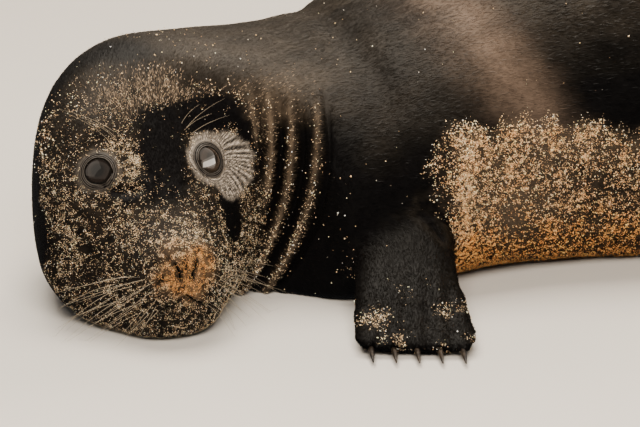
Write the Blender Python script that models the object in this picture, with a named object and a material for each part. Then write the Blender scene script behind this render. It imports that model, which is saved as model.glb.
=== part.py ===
"""A young grey seal lying prone with its head turned round to its left: life size, metres, +Z up.

The floor is z = 0. The trunk runs from the chest towards +X, where the hind flippers lie, and the
face looks to -Y. The origin is on the flat of the belly. The body is one swept form, parted into
named pieces by thin gaps; eyes and claws sit in sockets of their own.
"""

import math

import bmesh
import bpy
import numpy as np
from mathutils import Vector

# --- Driving sizes -------------------------------------------------------------------------------

BODY_LENGTH = 1.12  # nose tip to tail tip, along the spine
BELLY_STATION = 0.58  # how far behind the nose the origin lies
GAP = 0.0003  # clearance between neighbouring pieces
AROUND = 36  # points round a section of the body

# The spine in plan: its heading runs from nose to tail, anticlockwise from +X.
TAIL_HEADING = math.radians(3)
TRUNK_TURN = math.radians(16)  # swing of the trunk, spent slowly behind the shoulders
TRUNK_TURN_SPAN = (0.45, 0.85)
NECK_TURN = math.radians(93)  # swing of the neck, tightest just behind the jaw
NECK_TURN_SPAN = (0.085, 0.360)
NECK_TURN_POWER = 1.7

# Sections of the body, nose to tail. The widest place of a section lies at "side", and its foot is
# cut off flat at the floor where "foot" is below it.
#        along   left  right    top   side    foot
SECTIONS = (
    (0.000, 0.012, 0.012, 0.075, 0.062, 0.048),
    (0.005, 0.022, 0.022, 0.083, 0.060, 0.034),
    (0.014, 0.032, 0.032, 0.088, 0.053, 0.012),
    (0.028, 0.042, 0.042, 0.096, 0.048, -0.003),
    (0.045, 0.055, 0.055, 0.110, 0.050, -0.007),
    (0.065, 0.073, 0.073, 0.135, 0.058, -0.009),
    (0.090, 0.089, 0.087, 0.168, 0.068, -0.010),
    (0.115, 0.096, 0.092, 0.194, 0.075, -0.012),
    (0.140, 0.103, 0.097, 0.212, 0.078, -0.016),
    (0.170, 0.115, 0.103, 0.215, 0.078, -0.024),
    (0.205, 0.137, 0.111, 0.210, 0.074, -0.038),
    (0.250, 0.165, 0.122, 0.204, 0.072, -0.050),
    (0.310, 0.182, 0.138, 0.200, 0.078, -0.050),
    (0.390, 0.184, 0.160, 0.221, 0.090, -0.028),
    (0.480, 0.177, 0.175, 0.264, 0.106, -0.014),
    (0.580, 0.182, 0.182, 0.300, 0.110, -0.020),
    (0.700, 0.172, 0.172, 0.298, 0.104, -0.026),
    (0.830, 0.138, 0.138, 0.245, 0.086, -0.020),
    (0.935, 0.095, 0.095, 0.172, 0.063, -0.014),
    (1.010, 0.058, 0.058, 0.107, 0.044, -0.007),
    (1.060, 0.033, 0.033, 0.064, 0.030, -0.002),
    (1.100, 0.022, 0.022, 0.038, 0.019, 0.002),
    (1.120, 0.010, 0.010, 0.026, 0.017, 0.008),
)
UPPER_POWER = 2.15  # 2 is an ellipse, more is squarer
LOWER_POWER = 2.5

# The pieces of the swept body, and how far apart its rings stand in each.
BODY_PIECES = (
    ("head", 0.000, 0.125, 0.0070),
    ("neck", 0.125, 0.290, 0.0140),
    ("chest", 0.290, 0.500, 0.0210),
    ("belly", 0.500, 0.780, 0.0280),
    ("hips", 0.780, 1.010, 0.0230),
    ("tail", 1.010, 1.120, 0.0140),
)

# Rounded rises and hollows of the head: along, out to each side, height, spread, rise.
HEAD_FORMS = (
    (0.020, 0.024, 0.048, 0.022, 0.0060),  # whisker pads
    (0.074, 0.046, 0.128, 0.021, -0.0045),  # eye sockets
    (0.096, 0.048, 0.160, 0.022, 0.0040),  # brow ridges
    (0.052, 0.034, 0.088, 0.020, -0.0030),  # hollows beside the bridge of the nose
    (0.080, 0.084, 0.050, 0.030, 0.0050),  # cheeks
)

# The neck is fuller on the outer side of its bend: along, out to the left, height, spread, rise.
OUTER_SWELL = (0.155, -0.078, 0.172, 0.085, 0.0080)

# The eyes.
EYE_RADIUS = 0.0165
EYE_ALONG = 0.0742
EYE_OUT = 0.0460
EYE_DEPTH = 0.0102  # from the skin round the socket down to the middle of the ball

# Fore flippers: distance out from the root, height, width, thickness; shoulder to finger tips.
FORE_PROFILE = (
    (0.000, 0.086, 0.112, 0.096),
    (0.040, 0.078, 0.100, 0.086),
    (0.075, 0.060, 0.088, 0.072),
    (0.105, 0.042, 0.085, 0.056),
    (0.135, 0.028, 0.089, 0.043),
    (0.175, 0.018, 0.099, 0.032),
    (0.208, 0.011, 0.103, 0.022),
    (0.228, 0.007, 0.090, 0.014),
)
# Hind flippers: ankle to toe tips, spread into a fan with long outer toes.
HIND_PROFILE = (
    (0.000, 0.042, 0.056, 0.066),
    (0.045, 0.038, 0.062, 0.060),
    (0.090, 0.027, 0.068, 0.042),
    (0.140, 0.015, 0.086, 0.027),
    (0.190, 0.009, 0.114, 0.017),
    (0.228, 0.006, 0.132, 0.012),
    (0.245, 0.005, 0.126, 0.010),
)
FLIPPER_RINGS = 12
FLIPPER_EDGE = 0.92  # the last column before the edge, as a share of the half width
DIGITS = 5

# Claws: length, radius at the root, how far each is sunk in its digit.
FORE_CLAW = (0.027, 0.0034, 0.010)
HIND_CLAW = (0.014, 0.0020, 0.006)
CLAW_AROUND = 6
CLAW_RINGS = 5


# --- Curves through a few stations ---------------------------------------------------------------


def ease(t):
    """0 to 1, half of it straight and half of it with soft ends."""
    t = np.clip(t, 0.0, 1.0)
    return 0.7 * t + 0.3 * t * t * (3 - 2 * t)


def through(places, values):
    """A smooth curve through the stations that never swings past them (a monotone cubic)."""
    places, values = np.asarray(places, float), np.asarray(values, float)
    step = np.diff(places)
    slope = np.diff(values) / step
    tangent = np.zeros(len(places))
    tangent[0], tangent[-1] = slope[0], slope[-1]
    same_way = slope[:-1] * slope[1:] > 0
    weight = (2 * step[1:] + step[:-1], step[1:] + 2 * step[:-1])
    with np.errstate(divide="ignore", invalid="ignore"):
        mean = (weight[0] + weight[1]) / (weight[0] / slope[:-1] + weight[1] / slope[1:])
    tangent[1:-1] = np.where(same_way, mean, 0.0)

    def curve(x):
        k = int(np.clip(np.searchsorted(places, x) - 1, 0, len(step) - 1))
        t = np.clip((x - places[k]) / step[k], 0.0, 1.0)
        start = values[k] * (1 + 2 * t) * (1 - t) ** 2 + step[k] * tangent[k] * t * (1 - t) ** 2
        end = values[k + 1] * t * t * (3 - 2 * t) + step[k] * tangent[k + 1] * t * t * (t - 1)
        return float(start + end)

    return curve


def columns(table):
    """One curve for each column of a table, along its first column."""
    rows = np.array(table)
    return [through(rows[:, 0], rows[:, k]) for k in range(1, rows.shape[1])]


# --- The spine -----------------------------------------------------------------------------------


def heading(along):
    neck = np.clip((along - NECK_TURN_SPAN[0]) / (NECK_TURN_SPAN[1] - NECK_TURN_SPAN[0]), 0, 1)
    trunk = ease((along - TRUNK_TURN_SPAN[0]) / (TRUNK_TURN_SPAN[1] - TRUNK_TURN_SPAN[0]))
    return TAIL_HEADING + NECK_TURN * (1 - neck) ** NECK_TURN_POWER + TRUNK_TURN * (1 - trunk)


SPINE_STEP = 0.0005
_steps = np.arange(0.0, BODY_LENGTH + 2 * SPINE_STEP, SPINE_STEP)
_turns = heading(_steps + SPINE_STEP / 2)
_route = np.concatenate(
    [[[0.0, 0.0]], np.cumsum(np.stack([np.cos(_turns), np.sin(_turns)], 1) * SPINE_STEP, 0)]
)[:-1]
_belly = [np.interp(BELLY_STATION, _steps, _route[:, k]) for k in (0, 1)]


def spine(along):
    """The middle of the body on the floor, the way to the tail, and the way to the seal's left."""
    x, y = (np.interp(along, _steps, _route[:, k]) - _belly[k] for k in (0, 1))
    turn = float(heading(along))
    back = Vector((math.cos(turn), math.sin(turn), 0.0))
    left = Vector((math.sin(turn), -math.cos(turn), 0.0))
    return Vector((x, y, 0.0)), back, left


# --- Sections of the body ------------------------------------------------------------------------

half_left, half_right, top_of, side_of, foot_of = columns(SECTIONS)


def power(value, exponent):
    return math.copysign(abs(value) ** (2 / exponent), value)


def section_point(along, angle):
    """A point of the section in its own terms: out to the left, and height."""
    across, up = math.cos(angle), math.sin(angle)
    half = half_left(along) if across > 0 else half_right(along)
    side = side_of(along)
    reach = top_of(along) - side if up > 0 else side - foot_of(along)
    shape = UPPER_POWER if up > 0 else LOWER_POWER
    return half * power(across, shape), side + reach * power(up, shape)


def form_at(along, out, height, form):
    """How far one rounded rise or hollow pushes the surface out at this place."""
    form_along, form_out, form_height, spread, amount = form
    away = (along - form_along) ** 2 + (out - form_out) ** 2 + (height - form_height) ** 2
    return amount * math.exp(-away / (2 * (spread / 2) ** 2))


def head_form(along, out, height):
    """How far all the rises and hollows of head and neck push the surface out at this place."""
    rise = sum(form_at(along, abs(out), height, form) for form in HEAD_FORMS)
    return rise + form_at(along, out, height, OUTER_SWELL)


def body_ring(along, shift=0.0, swell=0.0):
    """One section as points in space, moved along the body by shift and grown by swell."""
    middle, back, left = spine(along)
    hub = (0.0, side_of(along))
    ring = []
    for k in range(AROUND):
        out, height = section_point(along, 2 * math.pi * k / AROUND)
        away = math.hypot(out - hub[0], height - hub[1])
        grow = 1 + (head_form(along, out, height) + swell) / max(away, 1e-6)
        out, height = out * grow, hub[1] + (height - hub[1]) * grow
        floor = -swell  # a grown body also reaches a little below the floor
        ring.append(middle + back * shift + left * out + Vector((0, 0, max(height, floor))))
    return ring


# --- Meshes --------------------------------------------------------------------------------------


def collection(name):
    made = bpy.data.collections.new(name)
    bpy.context.scene.collection.children.link(made)
    return made


def material(name, colour, roughness, metallic=0.0):
    made = bpy.data.materials.new(name)
    made.use_nodes = True
    shader = made.node_tree.nodes["Principled BSDF"]
    shader.inputs["Base Color"].default_value = (*colour, 1.0)
    shader.inputs["Roughness"].default_value = roughness
    shader.inputs["Metallic"].default_value = metallic
    return made


def keep(mesh, name, group, finish):
    """Turns a bmesh into a named object, faces out, smooth between its sharp edges."""
    bmesh.ops.recalc_face_normals(mesh, faces=mesh.faces)
    data = bpy.data.meshes.new(name)
    mesh.to_mesh(data)
    mesh.free()
    data.shade_smooth()
    data.set_sharp_from_angle(angle=math.radians(40))
    made = bpy.data.objects.new(name, data)
    made.data.materials.append(finish)
    group.objects.link(made)
    return made


def close_end(mesh, row):
    """Closes a ring with a strip that joins each point to the one across from it."""
    count = len(row)
    for k in range(count // 2):
        corners = [row[k], row[k + 1], row[(count - k - 1) % count], row[-k % count]]
        mesh.faces.new(list(dict.fromkeys(corners)))


def loft(rings):
    """A closed skin over rings of as many points each, which is an even number."""
    mesh = bmesh.new()
    rows = [[mesh.verts.new(point) for point in ring] for ring in rings]
    for first, second in zip(rows, rows[1:]):
        for k in range(len(first)):
            after = (k + 1) % len(first)
            mesh.faces.new((first[k], first[after], second[after], second[k]))
    close_end(mesh, rows[0])
    close_end(mesh, rows[-1])
    return mesh


def cut(target, cutter):
    modifier = target.modifiers.new("clear of " + cutter.name, "BOOLEAN")
    modifier.operation = "DIFFERENCE"
    modifier.object = cutter
    modifier.solver = "EXACT"


def as_cutter(made):
    made.hide_render = True
    made.display_type = "WIRE"
    return made


def stations(start, end, spacing):
    count = max(2, round((end - start) / spacing))
    return [start + (end - start) * k / count for k in range(count + 1)]


def build_body(group, cutters, coat):
    """The head, neck, chest, belly, hips and tail, and one cutter a little larger than all."""
    outline = []
    for name, start, end, spacing in BODY_PIECES:
        places = stations(start, end, spacing)
        shifts = [0.0] * len(places)
        shifts[0] = GAP / 2 if start > 0 else 0.0
        shifts[-1] = -GAP / 2 if end < BODY_LENGTH else 0.0
        keep(loft([body_ring(*pair) for pair in zip(places, shifts)]), name, group, coat)
        outline += [body_ring(place, 0.0, 1.5 * GAP) for place in places[:-1]]
    outline.append(body_ring(BODY_LENGTH, 0.0, 1.5 * GAP))
    return as_cutter(keep(loft(outline), "body_cutter", cutters, coat))


# --- Eyes ----------------------------------------------------------------------------------------


def brow_height(along, out):
    """The height of the head's surface above a place beside its middle line."""
    side, half = side_of(along), half_left(along)
    lift = (1 - abs(out / half) ** UPPER_POWER) ** (1 / UPPER_POWER)
    height = side + (top_of(along) - side) * lift
    return height + head_form(along, out, height)


def eye_place():
    """The middle of the left ball in head terms: along, out to the left, height."""
    step = 0.004
    rise_along = brow_height(EYE_ALONG + step, EYE_OUT) - brow_height(EYE_ALONG - step, EYE_OUT)
    rise_out = brow_height(EYE_ALONG, EYE_OUT + step) - brow_height(EYE_ALONG, EYE_OUT - step)
    outward = Vector((-rise_along, -rise_out, 2 * step)).normalized()
    return Vector((EYE_ALONG, EYE_OUT, brow_height(EYE_ALONG, EYE_OUT))) - outward * EYE_DEPTH


def build_eyes(group, cutters, glassy):
    """Each ball sits in a socket of the head, so that only its front shows."""
    place = eye_place()
    middle, back, left = spine(0.0)
    for name, side in (("eye_left", 1), ("eye_right", -1)):
        centre = middle + back * place.x + left * side * place.y + Vector((0, 0, place.z))
        for made_name, radius, into in (
            (name, EYE_RADIUS, group),
            (name + "_socket", EYE_RADIUS + GAP, cutters),
        ):
            mesh = bmesh.new()
            bmesh.ops.create_uvsphere(mesh, u_segments=14, v_segments=10, radius=radius)
            bmesh.ops.translate(mesh, verts=mesh.verts, vec=centre)
            made = keep(mesh, made_name, into, glassy)
        cut(bpy.data.objects["head"], as_cutter(made))


# --- Flippers ------------------------------------------------------------------------------------


class Flipper:
    """One limb as a swept form: it runs straight out from its root in plan, down to the floor."""

    def __init__(self, name, profile, claw, root, turn, shorter):
        self.name, self.claw, self.root, self.shorter = name, claw, root, shorter
        self.height, self.width, self.thickness = columns(profile)
        self.length = profile[-1][0]
        self.reach = Vector((math.cos(turn), math.sin(turn), 0.0))
        self.across = Vector((-self.reach.y, self.reach.x, 0.0))

    def web(self, q):
        """1 between the digits and at the edges of the hand, 0 on the middle line of a digit."""
        return (1 + math.cos(math.pi * DIGITS * (q + 1))) / 2

    def digit_end(self, q):
        """How far the hand runs at q, -1 to 1 across it: each digit has a rounded tip."""
        return self.length * (1 - self.shorter(q) - 0.025 * self.web(q))

    def point(self, along, q, face):
        """along runs from 0 at the root to 1 at the tips; face is 1 on the back, -1 on the palm."""
        run = along * self.digit_end(q)
        hand = min(1.0, max(0.0, (along - 0.55) / 0.25))
        thick = self.thickness(run) * (1 - 0.2 * hand * self.web(q))
        lift = face * thick / 2 * (1 - abs(q) ** 2.6) ** 0.5
        point = self.root + self.reach * run + self.across * (q * self.width(run) / 2)
        point.z = max(self.height(run) + lift, 0.0)
        return point

    def rings(self):
        inner = [k / DIGITS - 1 for k in range(1, 2 * DIGITS)]
        columns_across = [-1.0, -FLIPPER_EDGE, *inner, FLIPPER_EDGE, 1.0]
        loop = [(q, 1) for q in columns_across] + [(q, -1) for q in columns_across[-2:0:-1]]
        for k in range(FLIPPER_RINGS + 1):
            along = 1 - (1 - k / FLIPPER_RINGS) ** 1.35
            yield [self.point(along, q, face) for q, face in loop]

    def claw_rings(self, digit, grow=0.0):
        """A tapered horn that leaves the end of a digit and curves down a little."""
        long, radius, sunk = self.claw
        q = (2 * digit + 1) / DIGITS - 1
        out = q * self.width(self.length) / 2
        tip = self.root + self.reach * self.digit_end(q) + self.across * out
        for k in range(CLAW_RINGS):
            t = k / (CLAW_RINGS - 1)
            centre = tip + self.reach * (long * t - sunk + grow * (2 * t - 1))
            centre.z = self.height(self.length) * (1 - 0.3 * t * t)
            thick = radius * (1 - 0.8 * t**1.5) + grow
            turns = (2 * math.pi * j / CLAW_AROUND for j in range(CLAW_AROUND))
            yield [
                centre + self.across * thick * 0.8 * math.cos(a) + Vector((0, 0, thick * math.sin(a)))
                for a in turns
            ]


def build_flipper(flipper, body_cutter, finishes, groups):
    """The limb is cut off where it enters the body, and each claw has a pocket in its digit."""
    group, cutters = groups
    coat, horn = finishes
    limb = keep(loft(list(flipper.rings())), flipper.name, group, coat)
    cut(limb, body_cutter)
    for digit in range(DIGITS):
        name = f"{flipper.name}_claw_{digit + 1}"
        keep(loft(list(flipper.claw_rings(digit))), name, group, horn)
        pocket = loft(list(flipper.claw_rings(digit, 1.5 * GAP)))
        cut(limb, as_cutter(keep(pocket, name + "_pocket", cutters, horn)))


def build_flippers(body_cutter, finishes, groups):
    """The left hand is planted beside the chest, the right one lies back; the feet trail behind."""
    shoulders = 0.385
    chest, _, chest_left = spine(shoulders)
    ankles = 0.965
    hips, _, hips_left = spine(ankles)
    left_hand = Flipper(
        "fore_flipper_left", FORE_PROFILE, FORE_CLAW, chest + chest_left * 0.090,
        math.radians(-86.5), lambda q: 0.02 - 0.02 * q,
    )
    right_hand = Flipper(
        "fore_flipper_right", FORE_PROFILE, FORE_CLAW, chest - chest_left * 0.085,
        float(heading(shoulders)) + math.radians(42), lambda q: 0.04 - 0.04 * q,
    )
    feet = [
        Flipper(
            "hind_flipper_" + word, HIND_PROFILE, HIND_CLAW, hips + hips_left * side * 0.042,
            float(heading(ankles)) - side * math.radians(15), lambda q: 0.16 * (1 - q * q),
        )
        for word, side in (("left", 1), ("right", -1))
    ]
    for flipper in (left_hand, right_hand, *feet):
        build_flipper(flipper, body_cutter, finishes, groups)


# --- The seal ------------------------------------------------------------------------------------


def build():
    for old in list(bpy.data.objects):
        bpy.data.objects.remove(old)
    group = collection("young grey seal")
    cutters = collection("cutters")
    coat = material("black velvet coat", (0.030, 0.026, 0.022), 0.75)
    bare = material("wet eye", (0.012, 0.009, 0.007), 0.08)
    horn = material("dark claw", (0.045, 0.038, 0.032), 0.45)
    body_cutter = build_body(group, cutters, coat)
    build_eyes(group, cutters, bare)
    build_flippers(body_cutter, (coat, horn), (group, cutters))


build()
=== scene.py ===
"""A young grey seal lying on its belly with its head turned round to its left, as a museum shows it."""

import math

import bmesh
import bpy
import numpy as np
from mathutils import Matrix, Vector, noise
from mathutils.bvhtree import BVHTree
from mathutils.kdtree import KDTree


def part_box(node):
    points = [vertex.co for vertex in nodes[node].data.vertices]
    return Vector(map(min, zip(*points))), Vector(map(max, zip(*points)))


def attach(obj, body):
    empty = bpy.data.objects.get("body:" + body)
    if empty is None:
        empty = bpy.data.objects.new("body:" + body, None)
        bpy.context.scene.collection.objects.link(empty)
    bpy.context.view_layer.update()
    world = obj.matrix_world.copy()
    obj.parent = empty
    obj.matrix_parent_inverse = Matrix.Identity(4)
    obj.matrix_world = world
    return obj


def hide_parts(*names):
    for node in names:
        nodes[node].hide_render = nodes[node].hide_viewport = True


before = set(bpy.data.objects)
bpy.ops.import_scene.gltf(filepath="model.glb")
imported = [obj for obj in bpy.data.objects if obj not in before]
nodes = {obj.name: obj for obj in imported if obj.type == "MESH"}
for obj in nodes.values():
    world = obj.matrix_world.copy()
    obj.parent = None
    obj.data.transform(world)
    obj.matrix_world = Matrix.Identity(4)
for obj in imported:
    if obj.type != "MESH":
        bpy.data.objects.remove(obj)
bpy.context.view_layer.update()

bpy.ops.object.select_all(action="DESELECT")

# --- How the seal lies ---------------------------------------------------------------------------
# The spine in plan, as the solids were laid out on it: straight through the head, tightly bent in
# the neck, nearly straight to the tail. Places on the animal are told as the distance behind the
# nose or along the spine, the distance out to its left, and the height.

BODY_LENGTH = 1.12
BELLY_STATION = 0.58
TAIL_HEADING = math.radians(3)
TRUNK_TURN = math.radians(16)
TRUNK_TURN_SPAN = (0.45, 0.85)
TRUNK_EASE = 0.3  # the share of the trunk's turn that eases in and out
NECK_TURN = math.radians(93)
NECK_TURN_SPAN = (0.085, 0.360)
NECK_TURN_POWER = 1.7
SPINE_STEP = 0.0005


def spine_heading(along):
    neck, trunk = (np.clip((along - start) / (end - start), 0, 1)
                   for start, end in (NECK_TURN_SPAN, TRUNK_TURN_SPAN))
    trunk = (1 - TRUNK_EASE) * trunk + TRUNK_EASE * trunk * trunk * (3 - 2 * trunk)
    return TAIL_HEADING + NECK_TURN * (1 - neck) ** NECK_TURN_POWER + TRUNK_TURN * (1 - trunk)


spine_along = np.arange(0.0, BODY_LENGTH, SPINE_STEP)
spine_turn = spine_heading(spine_along + SPINE_STEP / 2)
spine_steps = np.stack([np.cos(spine_turn), np.sin(spine_turn)], 1) * SPINE_STEP
spine_route = np.concatenate([np.zeros((1, 2)), np.cumsum(spine_steps, 0)[:-1]])
spine_route -= spine_route[round(BELLY_STATION / SPINE_STEP)]

nose = np.array([*spine_route[0], 0.0])
head_back = np.array([math.cos(spine_turn[0]), math.sin(spine_turn[0]), 0.0])
head_left = np.array([head_back[1], -head_back[0], 0.0])

# --- The camera ----------------------------------------------------------------------------------
# It looks at the face from a little above, across the shoulder, with a long lens; the trunk runs
# out of view to the right.

VIEW_CENTRE = (0.105, 0.080, 0.087)  # from the nose on the floor
VIEW_DISTANCE = 2.5
VIEW_DROP = math.radians(18)
VIEW_HALF_WIDTH = 0.2592

lens = bpy.data.cameras.new("camera")
lens.sensor_width = 36.0
lens.lens = lens.sensor_width / 2 * VIEW_DISTANCE / VIEW_HALF_WIDTH
lens.clip_end = 100.0
camera = bpy.data.objects.new("camera", lens)
bpy.context.scene.collection.objects.link(camera)
view_line = Vector((0.0, math.cos(VIEW_DROP), -math.sin(VIEW_DROP)))
camera.location = Vector(nose) + Vector(VIEW_CENTRE) - view_line * VIEW_DISTANCE
camera.rotation_euler = (math.pi / 2 - VIEW_DROP, 0.0, 0.0)
bpy.context.scene.camera = camera

# --- The skin ------------------------------------------------------------------------------------
# One unbroken hide over head, neck, trunk, tail and all four flippers. It is grown from the solids,
# drawn in by the depth of the coat, and finest where the face has its features.

BODY_SPANS = {  # along the spine
    "head": (0.0, 0.125), "neck": (0.125, 0.290), "chest": (0.290, 0.500),
    "belly": (0.500, 0.780), "hips": (0.780, 1.010), "tail": (1.010, 1.120),
}
LIMB_SPANS = {"fore": (0.34, 0.45), "hind": (0.90, 1.03)}
FLIPPERS = ("fore_flipper_left", "fore_flipper_right", "hind_flipper_left", "hind_flipper_right")
EYES = ("eye_left", "eye_right")
WELD = 1e-6
SWELL = 0.0005  # closes the gaps between the solids
SKIN_CELL = 0.0064
RELAX_PASSES = 5
COAT_DEPTH = 0.0022  # on the trunk
FACE_COAT_DEPTH = 0.0008
FACE_TO_TRUNK = (0.08, 0.16)  # behind the nose, where the face's short coat gives way
LEAST_HEIGHT = 0.0006  # the skin's own flats stand this far over the floor

flesh = [*BODY_SPANS, *FLIPPERS]
solids = bmesh.new()
for name in (*flesh, *EYES):
    solids.from_mesh(nodes[name].data)
bmesh.ops.remove_doubles(solids, verts=solids.verts, dist=WELD)
solids.normal_update()
for vert in solids.verts:
    vert.co += vert.normal * SWELL
skin_mesh = bpy.data.meshes.new("seal_skin")
solids.to_mesh(skin_mesh)
solids.free()
skin = bpy.data.objects.new("seal_skin", skin_mesh)
bpy.context.scene.collection.objects.link(skin)
remesh = skin.modifiers.new("grow together", "REMESH")
remesh.mode = "VOXEL"
remesh.voxel_size = SKIN_CELL
relax = skin.modifiers.new("relax", "SMOOTH")
relax.factor = 0.5
relax.iterations = RELAX_PASSES
bpy.context.view_layer.objects.active = skin
skin.select_set(True)
for modifier in (remesh, relax):
    bpy.ops.object.modifier_apply(modifier=modifier.name)
skin.select_set(False)
hide = bmesh.new()
hide.from_mesh(skin.data)

# The remesh leaves small shells inside the body. Only the largest surface is kept.
left, shells = set(hide.verts), []
while left:
    shell = [left.pop()]
    search = list(shell)
    while search:
        vert = search.pop()
        for edge in vert.link_edges:
            other = edge.other_vert(vert)
            if other in left:
                left.remove(other)
                shell.append(other)
                search.append(other)
    shells.append(shell)
for shell in sorted(shells, key=len)[:-1]:
    bmesh.ops.delete(hide, geom=shell, context="VERTS")

# Which solid each place of the skin belongs to, so that the folded neck isn't taken for the head.
ROUTE_STRIDE = 8

solid_tris, solid_points, owners = [], [], []
for name in flesh:
    data = nodes[name].data
    base = len(solid_points)
    solid_points += [vert.co.copy() for vert in data.vertices]
    solid_tris += [[base + k for k in face.vertices] for face in data.polygons]
    owners += [name] * len(data.polygons)
solid_tree = BVHTree.FromPolygons(solid_points, solid_tris)


def body_places(points):
    """The owner of each point, and where it lies: along the spine, out to the left, the turn there."""
    names = np.array([owners[solid_tree.find_nearest(Vector(point))[2]] for point in points])
    along, out, turn = np.zeros((3, len(points)))
    for name in flesh:
        mine = names == name
        start, end = BODY_SPANS[name] if name in BODY_SPANS else LIMB_SPANS[name[:4]]
        stretch = slice(round(start / SPINE_STEP), round(end / SPINE_STEP), ROUTE_STRIDE)
        turns = spine_turn[stretch]
        away = points[mine, None, :2] - spine_route[stretch][None]
        nearest = (away**2).sum(2).argmin(1)
        away = away[np.arange(len(nearest)), nearest]
        back = np.stack([np.cos(turns[nearest]), np.sin(turns[nearest])], 1)
        along[mine] = spine_along[stretch][nearest] + (away * back).sum(1)
        out[mine] = away[:, 0] * back[:, 1] - away[:, 1] * back[:, 0]
        turn[mine] = turns[nearest]
    return names, along, out, turn


def in_head(points):
    """Points as the head sees them: behind the nose, out to the left, height."""
    away = np.asarray(points) - nose
    return np.stack([away @ head_back, away @ head_left, away[..., 2]], -1)


def from_head(along, out, height):
    return nose + head_back * along + head_left * out + np.array([0.0, 0.0, height])


def step_up(value, start, end):
    """0 up to the start and 1 past the end, easing in between."""
    t = np.clip((value - start) / (end - start), 0.0, 1.0)
    return t * t * (3 - 2 * t)


def step_down(value, start, end):
    return 1 - step_up(value, start, end)


def trunk_to_face(trunk, face, behind_nose, share=1.0):
    """A measure that passes from the trunk's value to the face's."""
    return trunk + (face - trunk) * step_down(behind_nose, *FACE_TO_TRUNK) * share


def points_of(mesh):
    return np.array([vert.co for vert in mesh.verts])


def even_out(verts, passes):
    for _ in range(passes):
        bmesh.ops.smooth_vert(hide, verts=verts, factor=0.5, use_axis_x=True, use_axis_y=True,
                              use_axis_z=True)


# The cells are halved three times: on the head, the face and the nose. The first two zones also take
# in the folds on the neck's inner side, behind the jaw.
FINE_ZONES = (
    # behind the nose, to each side, over the floor; the folds behind the jaw, from y, up to a height
    (0.140, 0.125, 0.003, 0.075, -0.190, math.inf),
    (0.112, 0.100, 0.010, 0.065, -0.205, 0.180),
    (0.026, 0.040, 0.020, 0.000, -0.190, 0.000),
)
HEAD_PASSES = 2

jaw_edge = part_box("head")[1].x


def in_zone(points, zone):
    reach, side, least, fold_reach, fold_start, fold_top = zone
    along, out, height = in_head(points).T
    head = (along < reach) & (abs(out) < side)
    folds = (points[:, 0] < jaw_edge + fold_reach) & (points[:, 1] < fold_start)
    folds &= (out > 0) & (height < fold_top)
    return (head | folds) & (height > least)


for zone in FINE_ZONES:
    fine = in_zone(np.array([face.calc_center_median() for face in hide.faces]), zone)
    edges = {edge for face, pick in zip(hide.faces, fine) if pick for edge in face.edges}
    bmesh.ops.subdivide_edges(hide, edges=list(edges), cuts=1, use_grid_fill=True)
fine = in_zone(points_of(hide), FINE_ZONES[0])
even_out([vert for vert, pick in zip(hide.verts, fine) if pick], HEAD_PASSES)
hide.normal_update()
for vert in hide.verts:
    vert.co -= vert.normal * (SWELL + trunk_to_face(COAT_DEPTH, FACE_COAT_DEPTH, in_head(vert.co)[0]))

# The limbs grow out of the trunk without an edge: the hide round each root is evened out.
ROOT_BLEND = 0.030
ROOT_PASSES = 14
ROOT_LOWEST = 0.02
ROOT_BEHIND_NOSE = 0.15  # the face is left as it is

limb = np.isin(body_places(points_of(hide))[0], FLIPPERS)
hide.verts.ensure_lookup_table()
borders = [edge.verts[0].co for edge in hide.edges
           if limb[edge.verts[0].index] != limb[edge.verts[1].index]]
root_tree = KDTree(len(borders))
for k, border in enumerate(borders):
    root_tree.insert(border, k)
root_tree.balance()
even_out([vert for vert in hide.verts
          if vert.co.z > ROOT_LOWEST and root_tree.find(vert.co)[2] < ROOT_BLEND
          and in_head(vert.co)[0] > ROOT_BEHIND_NOSE], ROOT_PASSES)

# The lids: round each eye the hide is a dark wet rim on the ball, two fine creases that run all the
# way round it, and a soft slope with small wrinkles down to the fur. They are made ring by ring.
BALL_RADIUS = (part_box("eye_left")[1].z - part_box("eye_left")[0].z) / 2
UNDER_BALL = BALL_RADIUS - 0.0015  # radius of the hide behind the opening
LID_MARGIN = 0.0113  # radius of the opening
LID_PROUD = 0.0008  # how far the rim stands over the ball
LID_WALL = 0.0007
LID_REACH = 0.0180
LID_CREASES = ((0.0123, 0.00050, 0.00036), (0.0137, 0.00050, 0.00045))  # radius, depth, half width
LID_WRINKLE = 0.00010
LID_RINGS = (0.0180, 0.0172, 0.0164, 0.0157, 0.0152, 0.0148, 0.0145, 0.0142, 0.0139, 0.0136, 0.0133,
             0.0130, 0.0127, 0.0125, 0.0123, 0.0121, 0.0119, 0.0117, 0.0115, 0.0113, 0.0110, 0.0106,
             0.0090, 0.0065, 0.0035)
LID_AROUND = 96
HOLE_SPARE = 0.0012  # the hole in the hide is this much wider than the lids
CORNER_DRAW = 0.14  # how far the inner corner draws the opening out, as a share of its radius
CORNER_WIDTH = 0.30  # radians
CORNER_FORWARD, CORNER_DOWN = 0.35, 0.25  # the way to the corner, for 1 inwards
SOCKET = (0.020, 0.028)  # the hide this far from the ball's middle tells which way the eye looks
ABOVE_LIDS = 0.06


def middle_of(name):
    low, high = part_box(name)
    return np.array((low + high) / 2)


places = points_of(hide)
normals = np.array([vert.normal for vert in hide.verts])
eye_axes = {}
for name in EYES:
    away = places - middle_of(name)
    distance = np.linalg.norm(away, axis=1)
    near = (distance > SOCKET[0]) & (distance < SOCKET[1]) & ((away * normals).sum(1) > 0)
    mean = normals[near].mean(0)
    eye_axes[name] = mean / np.linalg.norm(mean)


def eye_frame(name):
    """The way out of the eye, the way to its inner corner, and the way square to both."""
    axis = eye_axes[name]
    side = 1 if name == "eye_left" else -1
    inward = -side * head_left - CORNER_FORWARD * head_back - CORNER_DOWN * np.array([0.0, 0.0, 1.0])
    inward = inward - axis * (inward @ axis)
    inward /= np.linalg.norm(inward)
    return axis, inward, np.cross(axis, inward)


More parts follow.
